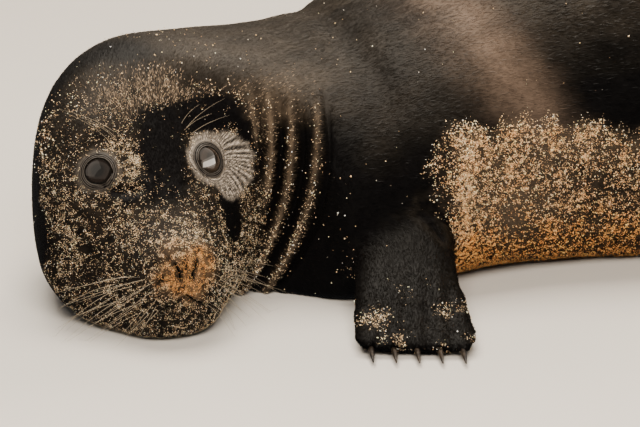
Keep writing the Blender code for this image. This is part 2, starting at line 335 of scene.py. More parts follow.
def round_eye(points, name):
    """Points as the eye sees them: height over the ball's middle, radius, and angle from the corner."""
    axis, inward, across = eye_frame(name)
    away = np.asarray(points) - middle_of(name)
    first, second = away @ inward, away @ across
    return away @ axis, np.hypot(first, second), np.arctan2(second, first)


def lid_height(radius, angle, slope_end):
    """Height of the lid over the ball's middle, at this radius measured from a round opening."""
    rim = math.sqrt(BALL_RADIUS**2 - LID_MARGIN**2) + LID_PROUD
    if radius < LID_MARGIN - LID_WALL:
        return math.sqrt(UNDER_BALL**2 - radius**2)
    if radius < LID_MARGIN:
        inner = math.sqrt(UNDER_BALL**2 - (LID_MARGIN - LID_WALL) ** 2)
        return inner + (rim - inner) * math.sqrt((radius - LID_MARGIN + LID_WALL) / LID_WALL)
    t = (radius - LID_MARGIN) / (LID_REACH - LID_MARGIN)
    height = rim + (slope_end - rim) * t * t * (3 - 2 * t) * (0.6 + 0.4 * t)
    for crease, depth, half in LID_CREASES:
        height -= depth * math.exp(-(((radius - crease) / half) ** 2))
    wrinkle = math.sin(31 * angle + 3 * math.sin(2 * angle)) + math.sin(19 * angle + 1)
    return height + LID_WRINKLE * wrinkle * math.sin(math.pi * t)


def open_hole(name):
    """Takes out the hide round an eye, with every ragged corner, and gives the edges of the hole."""
    faces = list(hide.faces)
    rise, radius, _ = round_eye(np.array([face.calc_center_median() for face in faces]), name)
    inside = (rise > 0) & (radius < LID_REACH + HOLE_SPARE)
    hole = [face for face, pick in zip(faces, inside) if pick]
    while hole:
        bmesh.ops.delete(hide, geom=hole, context="FACES")
        corners = [vert for vert in hide.verts if sum(edge.is_boundary for edge in vert.link_edges) > 2]
        hole = list({face for vert in corners for face in vert.link_faces})
    stray = [vert for vert in hide.verts if not vert.link_faces]
    bmesh.ops.delete(hide, geom=stray, context="VERTS")
    return [edge for edge in hide.edges if edge.is_boundary]


def set_lids(name):
    axis, inward, across = (Vector(line) for line in eye_frame(name))
    middle = Vector(middle_of(name))
    whole_hide = BVHTree.FromBMesh(hide)
    edges = open_hole(name)
    turns, slope_ends, corners = [], [], []
    for k in range(LID_AROUND):
        angle = 2 * math.pi * k / LID_AROUND
        turns.append(inward * math.cos(angle) + across * math.sin(angle))
        start = middle + turns[-1] * (LID_REACH + 0.0005) + axis * ABOVE_LIDS
        slope_ends.append((whole_hide.ray_cast(start, -axis)[0] - middle).dot(axis))
        from_corner = min(angle, 2 * math.pi - angle) / CORNER_WIDTH
        corners.append(1 + CORNER_DRAW * math.exp(-(from_corner**2)))
    rings = []
    for radius in LID_RINGS:
        drawn_in = max(0.0, 1 - radius / LID_REACH)
        ring = []
        for k in range(LID_AROUND):
            drawn = 1 + (corners[k] - 1) * drawn_in / (1 - LID_MARGIN / LID_REACH)
            height = lid_height(radius, 2 * math.pi * k / LID_AROUND, slope_ends[k])
            ring.append(hide.verts.new(middle + turns[k] * radius * drawn + axis * height))
        rings.append(ring)
    top = hide.verts.new(middle + axis * UNDER_BALL)
    for first, second in zip(rings, rings[1:]):
        for k in range(LID_AROUND):
            after = (k + 1) % LID_AROUND
            hide.faces.new((first[k], first[after], second[after], second[k]))
    for k in range(LID_AROUND):
        after = (k + 1) % LID_AROUND
        hide.faces.new((rings[-1][k], rings[-1][after], top))
        edges.append(hide.edges.get((rings[0][k], rings[0][after])))
    bmesh.ops.bridge_loops(hide, edges=edges)


for name in EYES:
    set_lids(name)
bmesh.ops.triangulate(hide, faces=hide.faces)
bmesh.ops.recalc_face_normals(hide, faces=hide.faces)
if hide.calc_volume(signed=True) < 0:
    bmesh.ops.reverse_faces(hide, faces=hide.faces)
hide.to_mesh(skin.data)
hide.free()
skin.data.shade_smooth()


def read_mesh(data):
    """The points, triangles and normals of a mesh as arrays."""
    points = np.empty(len(data.vertices) * 3, np.float32)
    data.vertices.foreach_get("co", points)
    corners = np.empty(len(data.loops), np.int32)
    data.loops.foreach_get("vertex_index", corners)
    normals = np.empty(len(data.vertices) * 3, np.float32)
    data.vertices.foreach_get("normal", normals)
    return points.reshape(-1, 3).astype(float), corners.reshape(-1, 3), normals.reshape(-1, 3).astype(float)


points, triangles, normals = read_mesh(skin.data)
owner, along, out, turn = body_places(points)
head_along, head_out, height = in_head(points).T
on_head = (owner == "head") | (owner == "neck") & (head_along < 0.15) & (abs(head_out) < 0.12)
on_body = np.isin(owner, list(BODY_SPANS))
on_flipper = np.isin(owner, FLIPPERS)
skin_tree = BVHTree.FromPolygons([Vector(point) for point in points], triangles.tolist())


def skin_under(along, out, height):
    """The place on the skin nearest to a place in the head's own terms, and the normal there."""
    spot, normal, _, _ = skin_tree.find_nearest(Vector(from_head(along, out, height)))
    return np.array(spot), np.array(normal)


def distance_from(place):
    return np.linalg.norm(points - place, axis=1)


def distance_along(start, end):
    """How far each point is from a straight line between two places."""
    step = end - start
    share = np.clip((points - start) @ step / (step @ step), 0, 1)
    return np.linalg.norm(points - start - share[:, None] * step, axis=1)


def from_stops(stops):
    """How far each point is from a route whose stops are laid on the skin."""
    stops = [np.array(skin_tree.find_nearest(Vector(stop))[0]) for stop in stops]
    return np.min([distance_along(*leg) for leg in zip(stops, stops[1:])], axis=0)


def from_route(route, side=1):
    return from_stops([from_head(along, side * out, height) for along, out, height in route])


def soft(distance, width):
    """1 at no distance, falling away softly."""
    return np.exp(-((distance / width) ** 2))


def rough(points, size, seed=0.0):
    """A smooth random field of about -1 to 1 whose lumps are about this large."""
    shift = Vector((seed * 7.31, seed * 3.17, seed * 5.73))
    return np.array([noise.noise(Vector(point) / size + shift) for point in points]) * 1.6


ends = np.concatenate([triangles[:, [0, 1]], triangles[:, [1, 2]], triangles[:, [2, 0]]])
neighbours = np.bincount(ends[:, 0], minlength=len(points))


def spread(values, times):
    """Evens a field out over the skin, each point taking on the mean of its neighbours."""
    values = np.array(values, float)
    columns = values.reshape(len(points), -1)
    for _ in range(times):
        for k in range(columns.shape[1]):
            columns[:, k] = np.bincount(ends[:, 0], columns[ends[:, 1], k], len(points)) / neighbours
    return columns.reshape(values.shape)


# The hide has been drawn in where it bulges, so it is let out again until it lies the coat's depth
# inside the solids. The hollows, the folds and the lids stay as they are.
MOST_LET_OUT = 0.0045
LET_OUT_PASSES = 30
LIDS_KEPT = (0.022, 0.034)  # from the eye's middle

nearest_solid = np.array([solid_tree.find_nearest(Vector(point))[0] for point in points])
sunk = ((nearest_solid - points) * normals).sum(1)
wanted = trunk_to_face(COAT_DEPTH, FACE_COAT_DEPTH, head_along, on_head)
let_out = spread(np.clip(sunk - wanted, 0, MOST_LET_OUT), LET_OUT_PASSES)
for name in EYES:
    let_out *= step_up(distance_from(middle_of(name)), *LIDS_KEPT)

# The mouth: a fine dark line from under the nose, down round each whisker pad and up at its end.
# Here and below, a mound or a groove is its height or depth times soft(distance, half width).
MOUTH = ((0.002, 0.0, 0.044), (0.006, 0.010, 0.037), (0.010, 0.024, 0.029), (0.026, 0.040, 0.024),
         (0.044, 0.054, 0.028), (0.056, 0.064, 0.036))
PHILTRUM = ((0.0, 0.0, 0.062), (0.001, 0.0, 0.052), (0.002, 0.0, 0.044))
NOSTRIL = ((0.0, 0.0050, 0.0590), (0.0008, 0.0060, 0.0650), (0.0030, 0.0085, 0.0710))
CHIN_FOLD = ((0.020, 0.0, 0.016), (0.026, 0.020, 0.014), (0.036, 0.038, 0.014))
EYE_CREASE = ((0.0627, 0.0456, 0.1215), (0.0588, 0.0328, 0.1165), (0.0546, 0.0191, 0.1185))

rise = np.zeros(len(points))
for side in (1, -1):
    rise += 0.0012 * soft(from_route(CHIN_FOLD, side), 0.006)
mouth = np.minimum(from_route(MOUTH), from_route(MOUTH, -1))
nostril = np.minimum(from_route(NOSTRIL), from_route(NOSTRIL, -1))
left_crease, right_crease = from_route(EYE_CREASE), from_route(EYE_CREASE, -1)
lips = 0.0030 * soft(mouth, 0.0014) - 0.0007 * soft(mouth, 0.0050)
rise -= step_down(head_along, 0.036, 0.058) * lips
rise -= 0.0040 * soft(nostril, 0.0011) - 0.0011 * soft(nostril, 0.0036)
rise -= 0.0016 * soft(from_route(PHILTRUM), 0.0014)
rise -= 0.0022 * soft(right_crease, 0.0040) + 0.0008 * soft(left_crease, 0.0040)
rise += 0.0008 * soft(right_crease - 0.0080, 0.0045)

# The whisker pads: rows of small mounds, one at the root of each whisker.
PAD_ROWS = ((4, 0.060), (5, 0.053), (6, 0.046), (6, 0.039), (4, 0.032))  # whiskers, height
PAD_START = 0.007  # behind the nose
PAD_STEP = 0.0075
PAD_STAGGER = 0.002
PAD_OUT, PAD_WIDENS, PAD_DROPS = 0.016, 0.62, 0.10  # at the nose, and for each metre back

whisker_roots = {1: [], -1: []}  # spot, normal and distance behind the nose, on each side
for side in (1, -1):
    for row, (count, row_height) in enumerate(PAD_ROWS):
        for k in range(count):
            back = PAD_START + PAD_STEP * k + PAD_STAGGER * (row % 2)
            aside = side * (PAD_OUT + PAD_WIDENS * back)
            spot, normal = skin_under(back, aside, row_height - PAD_DROPS * back)
            whisker_roots[side].append((spot, normal, back))
            rise += 0.0006 * soft(distance_from(spot), 0.0022)

# The ears are only small holes behind the eyes.
EAR = (0.116, 0.094, 0.112)

ear = np.min([distance_from(skin_under(EAR[0], side * EAR[1], EAR[2])[0]) for side in (1, -1)], axis=0)
rise -= 0.0020 * soft(ear, 0.0024)

# The folds of the neck stand one behind another between the jaw and the chest, each a soft roll
# bowed away from the face, with a sharp dark crease before it.
FOLD_PLACES = (-0.0080, 0.0065, 0.0240, 0.0450)  # behind the jaw's edge
FOLD_WAIST = 0.135  # height at which they stand furthest back
FOLD_BOW = 2.6
FOLDS_REACH = 0.085  # behind the jaw's edge
FOLDS_START = -0.16  # y
FOLDS_TOP = 0.19


def at_folds(offset, width):
    return sum(soft(bowed - place + offset, width) for place in FOLD_PLACES)


bowed = points[:, 0] - jaw_edge + FOLD_BOW * (height - FOLD_WAIST) ** 2
in_nook = step_up(normals[:, 1], -0.05, -0.45) * (owner != "head") * (owner != "fore_flipper_left")
in_nook *= (points[:, 0] < jaw_edge + FOLDS_REACH) * (points[:, 1] < FOLDS_START) * (height < FOLDS_TOP)
in_nook = spread(in_nook * step_down(height, 0.140, 0.185), 4)
crests = at_folds(0.0010, 0.0024)
rolls = 0.0042 * at_folds(0.0, 0.0050) - 0.0050 * at_folds(-0.0072, 0.0032)
rise += in_nook * rolls + (1 - in_nook) * let_out

# Blubber: soft lumps all over the trunk, and two shallow grooves behind the shoulders.
SHOULDER_GROOVES = ((0.0040, 0.350, 0.10, 0.014), (0.0030, 0.445, 0.16, 0.016))
GROOVE_HEIGHT = 0.20  # where the station holds; below it they lean back

on_trunk = spread(step_up(along, 0.18, 0.34) * step_down(along, 0.98, 1.08) * on_body, 8)
rise += on_trunk * 0.0016 * rough(points, 0.085)
rise += on_trunk * 0.0007 * rough(points, 0.030, 1.0)
for depth, station, lean, width in SHOULDER_GROOVES:
    groove = soft(along - station - lean * (GROOVE_HEIGHT - height), width)
    rise -= depth * groove * on_trunk * step_up(height, 0.02, 0.12)

# Two short creases run down from behind the left elbow, where the flipper's root folds the hide.
ELBOW_CREASES = (((0.3760, 0.1837, 0.0880), (0.3903, 0.1829, 0.0768), (0.4052, 0.1794, 0.0586)),
                 ((0.3740, 0.1850, 0.0790), (0.3810, 0.1880, 0.0730), (0.3889, 0.1985, 0.0629)))


def from_trunk(along, out, height):
    k = round(along / SPINE_STEP)
    left = np.array([math.sin(spine_turn[k]), -math.cos(spine_turn[k])])
    return np.array([*(spine_route[k] + left * out), height])


elbow = np.min([from_stops([from_trunk(*stop) for stop in stops]) for stops in ELBOW_CREASES], axis=0)
rise -= 0.0044 * soft(elbow, 0.0040)

# The digits show in each flipper as low ridges with webs between them, which fan out from the limb.
FAN = {"fore": 0.90, "hind": 0.30}  # from the tips back to where the digits would meet
DIGIT_LENGTH = {"fore": 0.110, "hind": 0.150}
KNUCKLE_START, KNUCKLE_STEP = 0.012, 0.034
RIDGE_HEIGHT = 0.0018
WEB_DEPTH = 0.0038
WEB_WIDTH = 0.55  # as a share of half the gap between two digits

flipper_way, flipper_run, flipper_across = {}, np.zeros(len(points)), np.zeros(len(points))
for name in FLIPPERS:
    kind, mine = name[:4], owner == name
    claws = np.array([middle_of(f"{name}_claw_{k}") for k in range(1, 6)])
    tips, span = claws.mean(0), claws[4] - claws[0]
    ahead = np.array([span[1], -span[0], 0.0])
    ahead *= np.sign(ahead @ (tips - middle_of(name))) / np.linalg.norm(ahead)
    over = span * [1, 1, 0] / np.linalg.norm(span[:2])
    apex = tips - ahead * FAN[kind]
    away = points[mine] - apex
    run, aside = away @ ahead - FAN[kind], away @ over
    angle = np.arctan2(aside, away @ ahead)
    digits = [math.atan2((claw - apex) @ over, (claw - apex) @ ahead) for claw in claws]
    half_gap = (max(digits) - min(digits)) / 8
    between = min(digits) + half_gap * np.array([1, 3, 5, 7])
    web = sum(soft(angle - place, half_gap * WEB_WIDTH) for place in between)
    on_digits = step_up(run, -DIGIT_LENGTH[kind], -DIGIT_LENGTH[kind] * 0.5)
    knuckles = 0.5 + 0.5 * np.cos(2 * math.pi * (run + KNUCKLE_START) / KNUCKLE_STEP)
    top = step_up(normals[mine, 2], -0.2, 0.5)
    rise[mine] += top * on_digits * (RIDGE_HEIGHT * knuckles * (1 - web) - WEB_DEPTH * web)
    flipper_way[name], flipper_run[mine], flipper_across[mine] = ahead, run, aside

points += normals * rise[:, None]
points[:, 2] = np.maximum(points[:, 2], LEAST_HEIGHT)
skin.data.vertices.foreach_set("co", points.astype(np.float32).ravel())
skin.data.update()
points, triangles, normals = read_mesh(skin.data)
head_along, head_out, height = in_head(points).T

# Which way the coat lies: from the nose over the head and back along the body, away from the eyes,
# and down each flipper to its claws.
FACE_END = 0.10
NOSE_WHORL = (-0.020, 0.0, 0.060)  # the face's coat runs back from here
NOSE_PULL = 1.5
EYE_WHORL = 0.020
EYE_PULL = 2.2
EYE_PULL_END = 0.13  # behind the nose
LIE_PASSES = 22
LEAST_LENGTH = 1e-9


def unit(vectors, least=0.0):
    """Vectors at length 1; the least length keeps one that has none from a division by 0."""
    return vectors / (np.linalg.norm(vectors, axis=1)[:, None] + least)


lie = np.stack([np.cos(turn), np.sin(turn), np.zeros(len(points))], 1)
facing = step_down(head_along, 0.05, FACE_END) * on_head
lie += (unit(points - from_head(*NOSE_WHORL)) * NOSE_PULL - lie) * facing[:, None]
eye_rise, eye_radius, eye_angle = {}, {}, {}
for name in EYES:
    eye_rise[name], eye_radius[name], eye_angle[name] = round_eye(points, name)
    away = points - middle_of(name)
    away = unit(away - np.outer(away @ eye_axes[name], eye_axes[name]), LEAST_LENGTH)
    near = (eye_rise[name] > 0) * (head_along < EYE_PULL_END) * on_head
    lie += away * EYE_PULL * (soft(eye_radius[name], EYE_WHORL) * near)[:, None]
for name in FLIPPERS:
    lie[owner == name] = flipper_way[name]
lie = spread(lie, LIE_PASSES)
lie = unit(lie - normals * (lie * normals).sum(1)[:, None], LEAST_LENGTH)

# --- The markings --------------------------------------------------------------------------------
# The coat is nearly black, with painted sheen where it faces up along the back and on the shoulder.
# Fine dust and wet sand colour it in places; round the left eye the wet fur takes a painted
# reflection of the sky, and painted highlights and shade mark the lids, the folds and the elbow.
# Skin and coat both take these colours.

# Colours are linear red, green and blue. A field's edge is told as the two values, of a distance or
# a height, between which it eases from 0 to 1 or back.
BLACK = np.array([0.0026, 0.0021, 0.0016])
# Painted sheen: the lighter tone of fur that faces up, as if lit from above.
PAINTED_SHEEN = np.array([0.034, 0.0260, 0.0180])
# Painted sheen: the lighter tone of the shoulder, as if lit from the left.
SHOULDER_SHEEN = np.array([0.135, 0.092, 0.066])
# Dust; on the crests of the folds it also stands for painted highlight.
DUST = np.array([0.170, 0.120, 0.078])
# Painted reflection: the pale tone of wet fur round the left eye, standing for the sky mirrored in it.
SKY_REFLECTION = np.array([0.420, 0.355, 0.290])
WET_SAND = np.array([0.440, 0.250, 0.125])
BARE = np.array([0.0045, 0.0038, 0.0034])
# Painted highlight: the paler lines where the wet rims of the lids catch the light.
LID_GLINT = np.array([0.075, 0.064, 0.054])
DARKEST = 0.0022
LID_GLINT_RADII = (0.0117, 0.0130, 0.0146)  # radii of the paler lines round the eye
LID_GLINT_WIDTH = 0.00030
LIDS_END, RING_END = 0.12, 0.118  # behind the nose
BEHIND_CHEST = 0.40  # along the spine
# A mark is a strength, a start, an end, a half width and, where it differs, a blur.
CLEAN_MARKS = (
    # between the eyes and over the left one
    (1.0, (0.056, 0.004, 0.124), (0.084, 0.011, 0.158), 0.0205, 0.42),
    (1.0, (0.088, 0.020, 0.163), (0.0935, 0.072, 0.163), 0.0140, 0.36),
    # beside the right eye, over the left temple and on the left cheek
    (1.0, (0.0612, -0.0405, 0.1160), (0.0556, -0.0285, 0.1160), 0.0066),
    (0.7, (0.0625, -0.0230, 0.1290), (0.0600, -0.0050, 0.1280), 0.0060),
    (1.0, (0.094, 0.080, 0.156), (0.0895, 0.0876, 0.128), 0.0060),
    (1.0, (0.062, 0.060, 0.096), (0.054, 0.060, 0.078), 0.0115),
)
THIN_MARKS = (
    # where the sand lies thinner: over the crown, and from the brow down beside the muzzle
    (0.50, (0.148, -0.055, 0.172), (0.112, -0.060, 0.158), 0.018),
    (0.35, (0.120, -0.020, 0.185), (0.108, 0.040, 0.185), 0.022),
    (0.55, (0.148, -0.040, 0.186), (0.124, -0.034, 0.178), 0.020),
    (0.60, (0.0567, 0.0032, 0.124), (0.0440, 0.0320, 0.098), 0.019, 0.6),
)
SANDY_ARC = ((0.0665, -0.0470, 0.120), (0.0655, -0.0390, 0.1240), (0.0615, -0.0280, 0.1230),
             (0.0560, -0.0230, 0.1180))  # over the right eye's inner corner
# How high the sand reaches on the flank: places along x, and the heights there.
FLANK_TOP = ((-0.130, -0.108, -0.055, 0.0, 0.050, 0.100), (0.136, 0.154, 0.149, 0.141, 0.129, 0.118))

blotch = rough(points, 0.022, 2.0)
fleck = rough(points, 0.007, 3.0)
ragged = 0.004 * blotch + 0.003 * fleck
face_edge = rough(points, 0.030, 6.0) * 0.006 + rough(points, 0.010, 7.0) * 0.004
clots = np.clip(0.5 + 1.3 * rough(points, 0.0090, 9.0), 0, 1)
clump = np.clip(0.62 + 0.8 * rough(points, 0.0055, 4.0), 0.10, 1.6)
head_or_neck = np.isin(owner, ("head", "neck"))
left_side = (out > 0) & on_body


def near_line(start, end, width, blur=0.25):
    """1 along a straight line through the head, with a ragged edge blurred by a share of the width."""
    distance = distance_along(from_head(*start), from_head(*end)) + 0.8 * ragged
    return step_down(distance, width * (1 - blur), width * (1 + blur))


def strongest(marks):
    return np.max([strength * near_line(*mark) for strength, *mark in marks], axis=0)


# The sanded part of the head ends over the crown, further back on the right, and comes forward
# again down the right cheek.
sand_end = 0.127 - 0.47 * np.clip(head_out, -0.060, 0.030)
sand_end -= 0.14 * np.clip(head_out - 0.030, 0, 0.060)
cheek_end = 0.168 - 1.1 * np.clip(0.155 - height, 0, 0.070)
sand_end = np.where(head_out < -0.030, np.minimum(sand_end, cheek_end), sand_end)
ragged_along = head_along + face_edge
on_face = head_or_neck * step_down(along, 0.160, 0.190)
on_face = on_face * step_down(ragged_along, sand_end - 0.016, sand_end + 0.006)
on_face = spread(on_face * (1 - in_nook * (owner == "neck")), 2)
crown = step_up(ragged_along, sand_end - 0.004, sand_end + 0.010) * step_down(head_out, 0.005, 0.045)
crown = spread(crown * head_or_neck * step_down(along, 0.150, 0.185), 3)
clean = strongest(CLEAN_MARKS)
clean = np.clip(1.1 * clean + 0.35 * fleck * (clean > 0.05), 0, 1) * on_head

# Round the left eye the wet fur is pale with a painted reflection of the sky, and it runs out over
# the temple; round the right eye the painted reflection is narrow and dim, as if in shade.
ring = step_down(eye_radius["eye_left"] + 0.5 * ragged, 0.0175, 0.0225)
temple = distance_from(from_head(0.083, 0.063, 0.121)) + 0.6 * ragged
ring = np.maximum(ring, step_down(temple, 0.0240, 0.0290))
ring *= (eye_rise["eye_left"] > 0) * on_head * (head_along < RING_END)
dim_ring = step_down(eye_radius["eye_right"] + 0.5 * ragged, 0.0150, 0.0200)
dim_ring *= (eye_rise["eye_right"] > 0) * on_head

# Fine dust colours single hairs over the brow and round the temple. Along the crests and tops of
# the folds the lighter hairs are dust and painted highlight, where the folds catch the light.
dust_and_sheen = step_up(ragged_along, sand_end - 0.052, sand_end - 0.026) * on_face
dust_and_sheen *= step_up(head_out, -0.060, -0.015) * step_up(height + face_edge, 0.158, 0.172)
dust_and_sheen = np.maximum(dust_and_sheen, 0.8 * near_line((0.1046, 0.0851, 0.175), (0.0932, 0.0999, 0.145), 0.012))
fold_tops = step_up(height, 0.142, 0.160) * step_down(height, 0.176, 0.192)
fold_tops *= soft(bowed - 0.012, 0.026) * (points[:, 1] < FOLDS_START) * (owner != "head")
dust_and_sheen = np.maximum(dust_and_sheen, np.maximum(0.5 * fold_tops, 0.7 * in_nook * crests))
brow_crease = near_line((0.1130, -0.0050, 0.190), (0.1030, -0.0070, 0.180), 0.0030)
dust_and_sheen *= (1 - clean) * (1 - 0.8 * brow_crease) * (1 - np.clip(1.5 * ring + dim_ring, 0, 1))

# The lids, the nostrils, the lips and the ears have no fur.
bare, lid_glint = np.zeros((2, len(points)))
for name in EYES:
    lid = (eye_rise[name] > 0) & on_head & (head_along < LIDS_END)
    bare = np.maximum(bare, lid * step_down(eye_radius[name], 0.0150, 0.0160))
    # The paler lines round the eyes are painted highlights on the wet rims of the lids.
    lid_glints = sum(soft(eye_radius[name] - place, LID_GLINT_WIDTH) for place in LID_GLINT_RADII)
    lid_glint = np.maximum(lid_glint, lid * lid_glints)
for distance, width in ((nostril, 0.0022), (mouth, 0.0016), (ear, 0.0022)):
    bare = np.maximum(bare, soft(distance, width))

# On the flank the sand stands in a thick upright band behind the elbow, with barer places round it.
snout = step_down(distance_from(from_head(0.004, 0.003, 0.062)) + 2 * ragged, 0.012, 0.034)
flank_top = np.interp(points[:, 0], *FLANK_TOP)
flank_top += 0.010 * rough(points * [1.0, 0.2, 0.1], 0.016, 8.0)
flank = step_up(points[:, 0] + 1.5 * ragged, -0.134, -0.118) * step_down(points[:, 0], 0.18, 0.42)
flank *= step_down(height + ragged, flank_top - 0.012, flank_top + 0.003)
flank *= left_side * (owner != "head")
elbow_band = flank * soft(points[:, 0] + 0.098 + 0.3 * ragged, 0.0105)
before_band = flank * step_down(points[:, 0] + 0.5 * ragged, -0.117, -0.108)
bare_flank = flank * soft(points[:, 0] + 0.060, 0.024) * soft(height - 0.066, 0.026)
gaps = flank * step_up(points[:, 0], -0.050, 0.010) * soft(height - 0.080, 0.032)

# Painted sheen: the shoulder's fur is lighter, as if lit from the left, up to a line that slants
# down and back, where the painted sheen ends and the fur turns dark.
shoulder_sheen_line = 0.462 + 0.55 * (0.232 - height)
shoulder_sheen = step_up(along, shoulder_sheen_line - 0.095, shoulder_sheen_line - 0.018) ** 1.3
shoulder_sheen *= step_down(along + 2 * ragged, shoulder_sheen_line - 0.020, shoulder_sheen_line + 0.016)
shoulder_sheen *= step_up(out + 4 * ragged, -0.120, 0.040)
shoulder_sheen *= step_up(height, 0.110, 0.170) * np.isin(owner, ("chest", "neck", "belly"))
shoulder_sheen = spread(shoulder_sheen, 3)
low = step_down(height + ragged, 0.012, 0.050) * (along > BEHIND_CHEST) * on_body
far_flank = step_down(height + 3 * ragged, 0.05, 0.11) * (out < 0) * (along > BEHIND_CHEST) * on_body
on_hand = np.isin(owner, FLIPPERS[:2]) * step_up(flipper_run, -0.085, -0.030)
on_foot = np.isin(owner, FLIPPERS[2:]) * step_up(flipper_run, -0.100, -0.010)

# Painted sheen: the fur is lighter where it faces up, as if lit from above; less on the flippers and the
# face.
top_sheen = step_up(normals[:, 2], 0.25, 0.95) * (1 - on_flipper * 0.95)
top_sheen = top_sheen * (0.75 + 0.25 * blotch) * (1 - 0.6 * on_face)
top_sheen *= 1 - 0.45 * step_up(along, 0.30, 0.36) * step_down(along, 0.40, 0.45) * left_side
tone = BLACK + (PAINTED_SHEEN - BLACK) * top_sheen[:, None]
for colour, amount in (
    # painted sheen on the shoulder
    (SHOULDER_SHEEN, 0.95 * shoulder_sheen * (0.8 + 0.3 * blotch)),
    (BLACK, 0.92 * crown),
    (DUST, 0.05 * on_face * (1 - clean) * (0.7 + 0.6 * fleck)),
    (BLACK, 0.9 * in_nook),
    # dust on the brow; dust with painted highlight on the crests and tops of the folds
    (DUST, (0.05 * dust_and_sheen + 0.20 * fold_tops + 0.42 * in_nook * crests) * (0.8 + 0.4 * fleck)),
    (DUST, 0.30 * flank * (1 - 0.8 * before_band) * (1 - low) * (1 - 0.6 * gaps) * (0.8 + 0.4 * fleck)),
    (DUST, 0.20 * bare_flank),
    (WET_SAND, (0.08 * flank + 0.06) * low * (0.6 + 0.7 * fleck)),
    (WET_SAND, 0.26 * snout * (0.7 + 0.8 * fleck) * (1 - bare)),
    (BLACK, 0.95 * clean),
    # painted highlight on the ridges beside the elbow creases, and painted shade down in the creases
    (PAINTED_SHEEN, 0.3 * soft(elbow - 0.0070, 0.0026) * (points[:, 0] < -0.08)),
    (BLACK, 0.95 * soft(elbow, 0.0045)),
    # painted reflection of the sky on the wet fur round the eyes
    (SKY_REFLECTION, (0.85 * ring + 0.12 * dim_ring) * (1 - bare)),
    (BARE, bare),
    # painted highlights on the wet rims of the lids
    (LID_GLINT, lid_glint),
):
    tone += (colour - tone) * np.clip(amount, 0, 1)[:, None]
tone = np.maximum(tone, DARKEST)

# How thick the sand lies, up to about 1 where it hides the fur: on the face, the snout, the folds,
# the flank, the belly's edge and the flippers. Loose grains lie all over, most on the neck.
thin = np.maximum(strongest(THIN_MARKS), 0.8 * brow_crease)
sand = 0.36 * on_face * (1 - clean) * np.clip(0.80 + 0.50 * blotch, 0.20, 1.5) * clump * (1 - thin)
sand *= 1 - 0.50 * dust_and_sheen
sand += 0.08 * on_face * near_line((0.030, 0.0, 0.085), (0.070, -0.035, 0.108), 0.034) * clump
sand += 0.60 * on_face * near_line((0.076, -0.030, 0.143), (0.073, -0.022, 0.131), 0.0120) * clump
for leg in zip(SANDY_ARC, SANDY_ARC[1:]):
    sand += 0.30 * on_face * near_line(*leg, 0.0034) * clump
sand *= 1 - np.clip(0.94 * ring + 0.6 * dim_ring, 0, 1)
sand += 0.80 * snout * clump
sand *= 1 - 0.35 * near_line((0.125, -0.050, 0.170), (0.100, -0.062, 0.150), 0.022)
sand += in_nook * crests * (0.36 * step_down(height, 0.05, 0.13) + 0.12) * clump
thick = np.clip(0.32 + 0.25 * blotch + 0.90 * clots, 0, 1.4)
thinner = (1 - 0.58 * low) * (1 - 0.45 * gaps) * (1 - 0.74 * before_band)
sand += flank * (1 - 0.85 * bare_flank) * thinner * thick * clump
sand += 1.10 * elbow_band * clump
sand += (0.22 * low * np.clip(0.5 + blotch, 0, 1) * clump
         + 0.05 * far_flank * np.clip(0.4 + blotch, 0, 1))
sand += (on_hand * 0.55 + on_foot * 0.12) * np.clip(1.8 * blotch - 0.1, 0, 1) * clump
sand *= 1 - bare
film = sand * (1 - 0.40 * flank - 0.35 * on_face) * (1 - 0.5 * dust_and_sheen)  # the finest, down in the fur
loose = 0.0012 + 0.012 * head_or_neck * step_down(along, 0.16, 0.26) * clump
loose *= 1 - 0.8 * crown - 0.6 * clean
wet = step_down(height + 2 * ragged, 0.012, 0.085) * (along > BEHIND_CHEST)
wet = np.clip(0.9 * snout + 0.85 * wet + (0.34 + 0.26 * clots) * flank + 0.10 * on_face, 0, 1)

# Where the hairs run on the skin: a distance along them and one across them.
HEAD_AXIS, BODY_AXIS = 0.060, 0.085  # heights that the hairs across are counted round
HEAD_GIRTH, BODY_GIRTH, EYE_GIRTH = 0.08, 0.15, 0.022  # radii that turn the angles into lengths
WHORL_REACH = 0.030

along_hairs = np.where(on_head, distance_from(from_head(*NOSE_WHORL)), along)
across_hairs = np.where(on_head, np.arctan2(height - HEAD_AXIS, head_out) * HEAD_GIRTH,
                        np.arctan2(height - BODY_AXIS, out) * BODY_GIRTH)
along_hairs[on_flipper], across_hairs[on_flipper] = flipper_run[on_flipper], flipper_across[on_flipper]
for name in EYES:
    mine = (eye_rise[name] > 0) & (eye_radius[name] < WHORL_REACH) & on_head & (head_along < EYE_PULL_END)
    along_hairs[mine] = eye_radius[name][mine]
    across_hairs[mine] = eye_angle[name][mine] * EYE_GIRTH


def keep_field(data, name, values):
    """Stores a number, a vector or a colour for each point of a mesh; tones are the colours."""
    values = np.asarray(values)
    kind = "FLOAT" if values.ndim == 1 else "FLOAT_COLOR" if name == "tone" else "FLOAT_VECTOR"
    if kind == "FLOAT_COLOR":
        values = np.concatenate([values, np.ones((len(values), 1))], 1)
    part = {"FLOAT": "value", "FLOAT_VECTOR": "vector", "FLOAT_COLOR": "color"}[kind]
    field = data.attributes.new(name, kind, "POINT")
    field.data.foreach_set(part, values.astype(np.float32).ravel())


# Under the painted reflection round the left eye the skin is darker, so that only the tufts carry it.
keep_field(skin.data, "tone", tone * (1 - 0.60 * ring * (1 - bare))[:, None])
keep_field(skin.data, "bare", bare)
keep_field(skin.data, "sand", film)
keep_field(skin.data, "wet", wet)
keep_field(skin.data, "hairs", np.stack([along_hairs, across_hairs, height * 0], 1))


def feed(tree, inputs, values):
    """Sets a node's inputs, told by name or number, and links those given another node's output."""
    for key, value in values.items():
        if isinstance(value, bpy.types.NodeSocket):
            tree.links.new(value, inputs[key])
        else:
            inputs[key].default_value = value


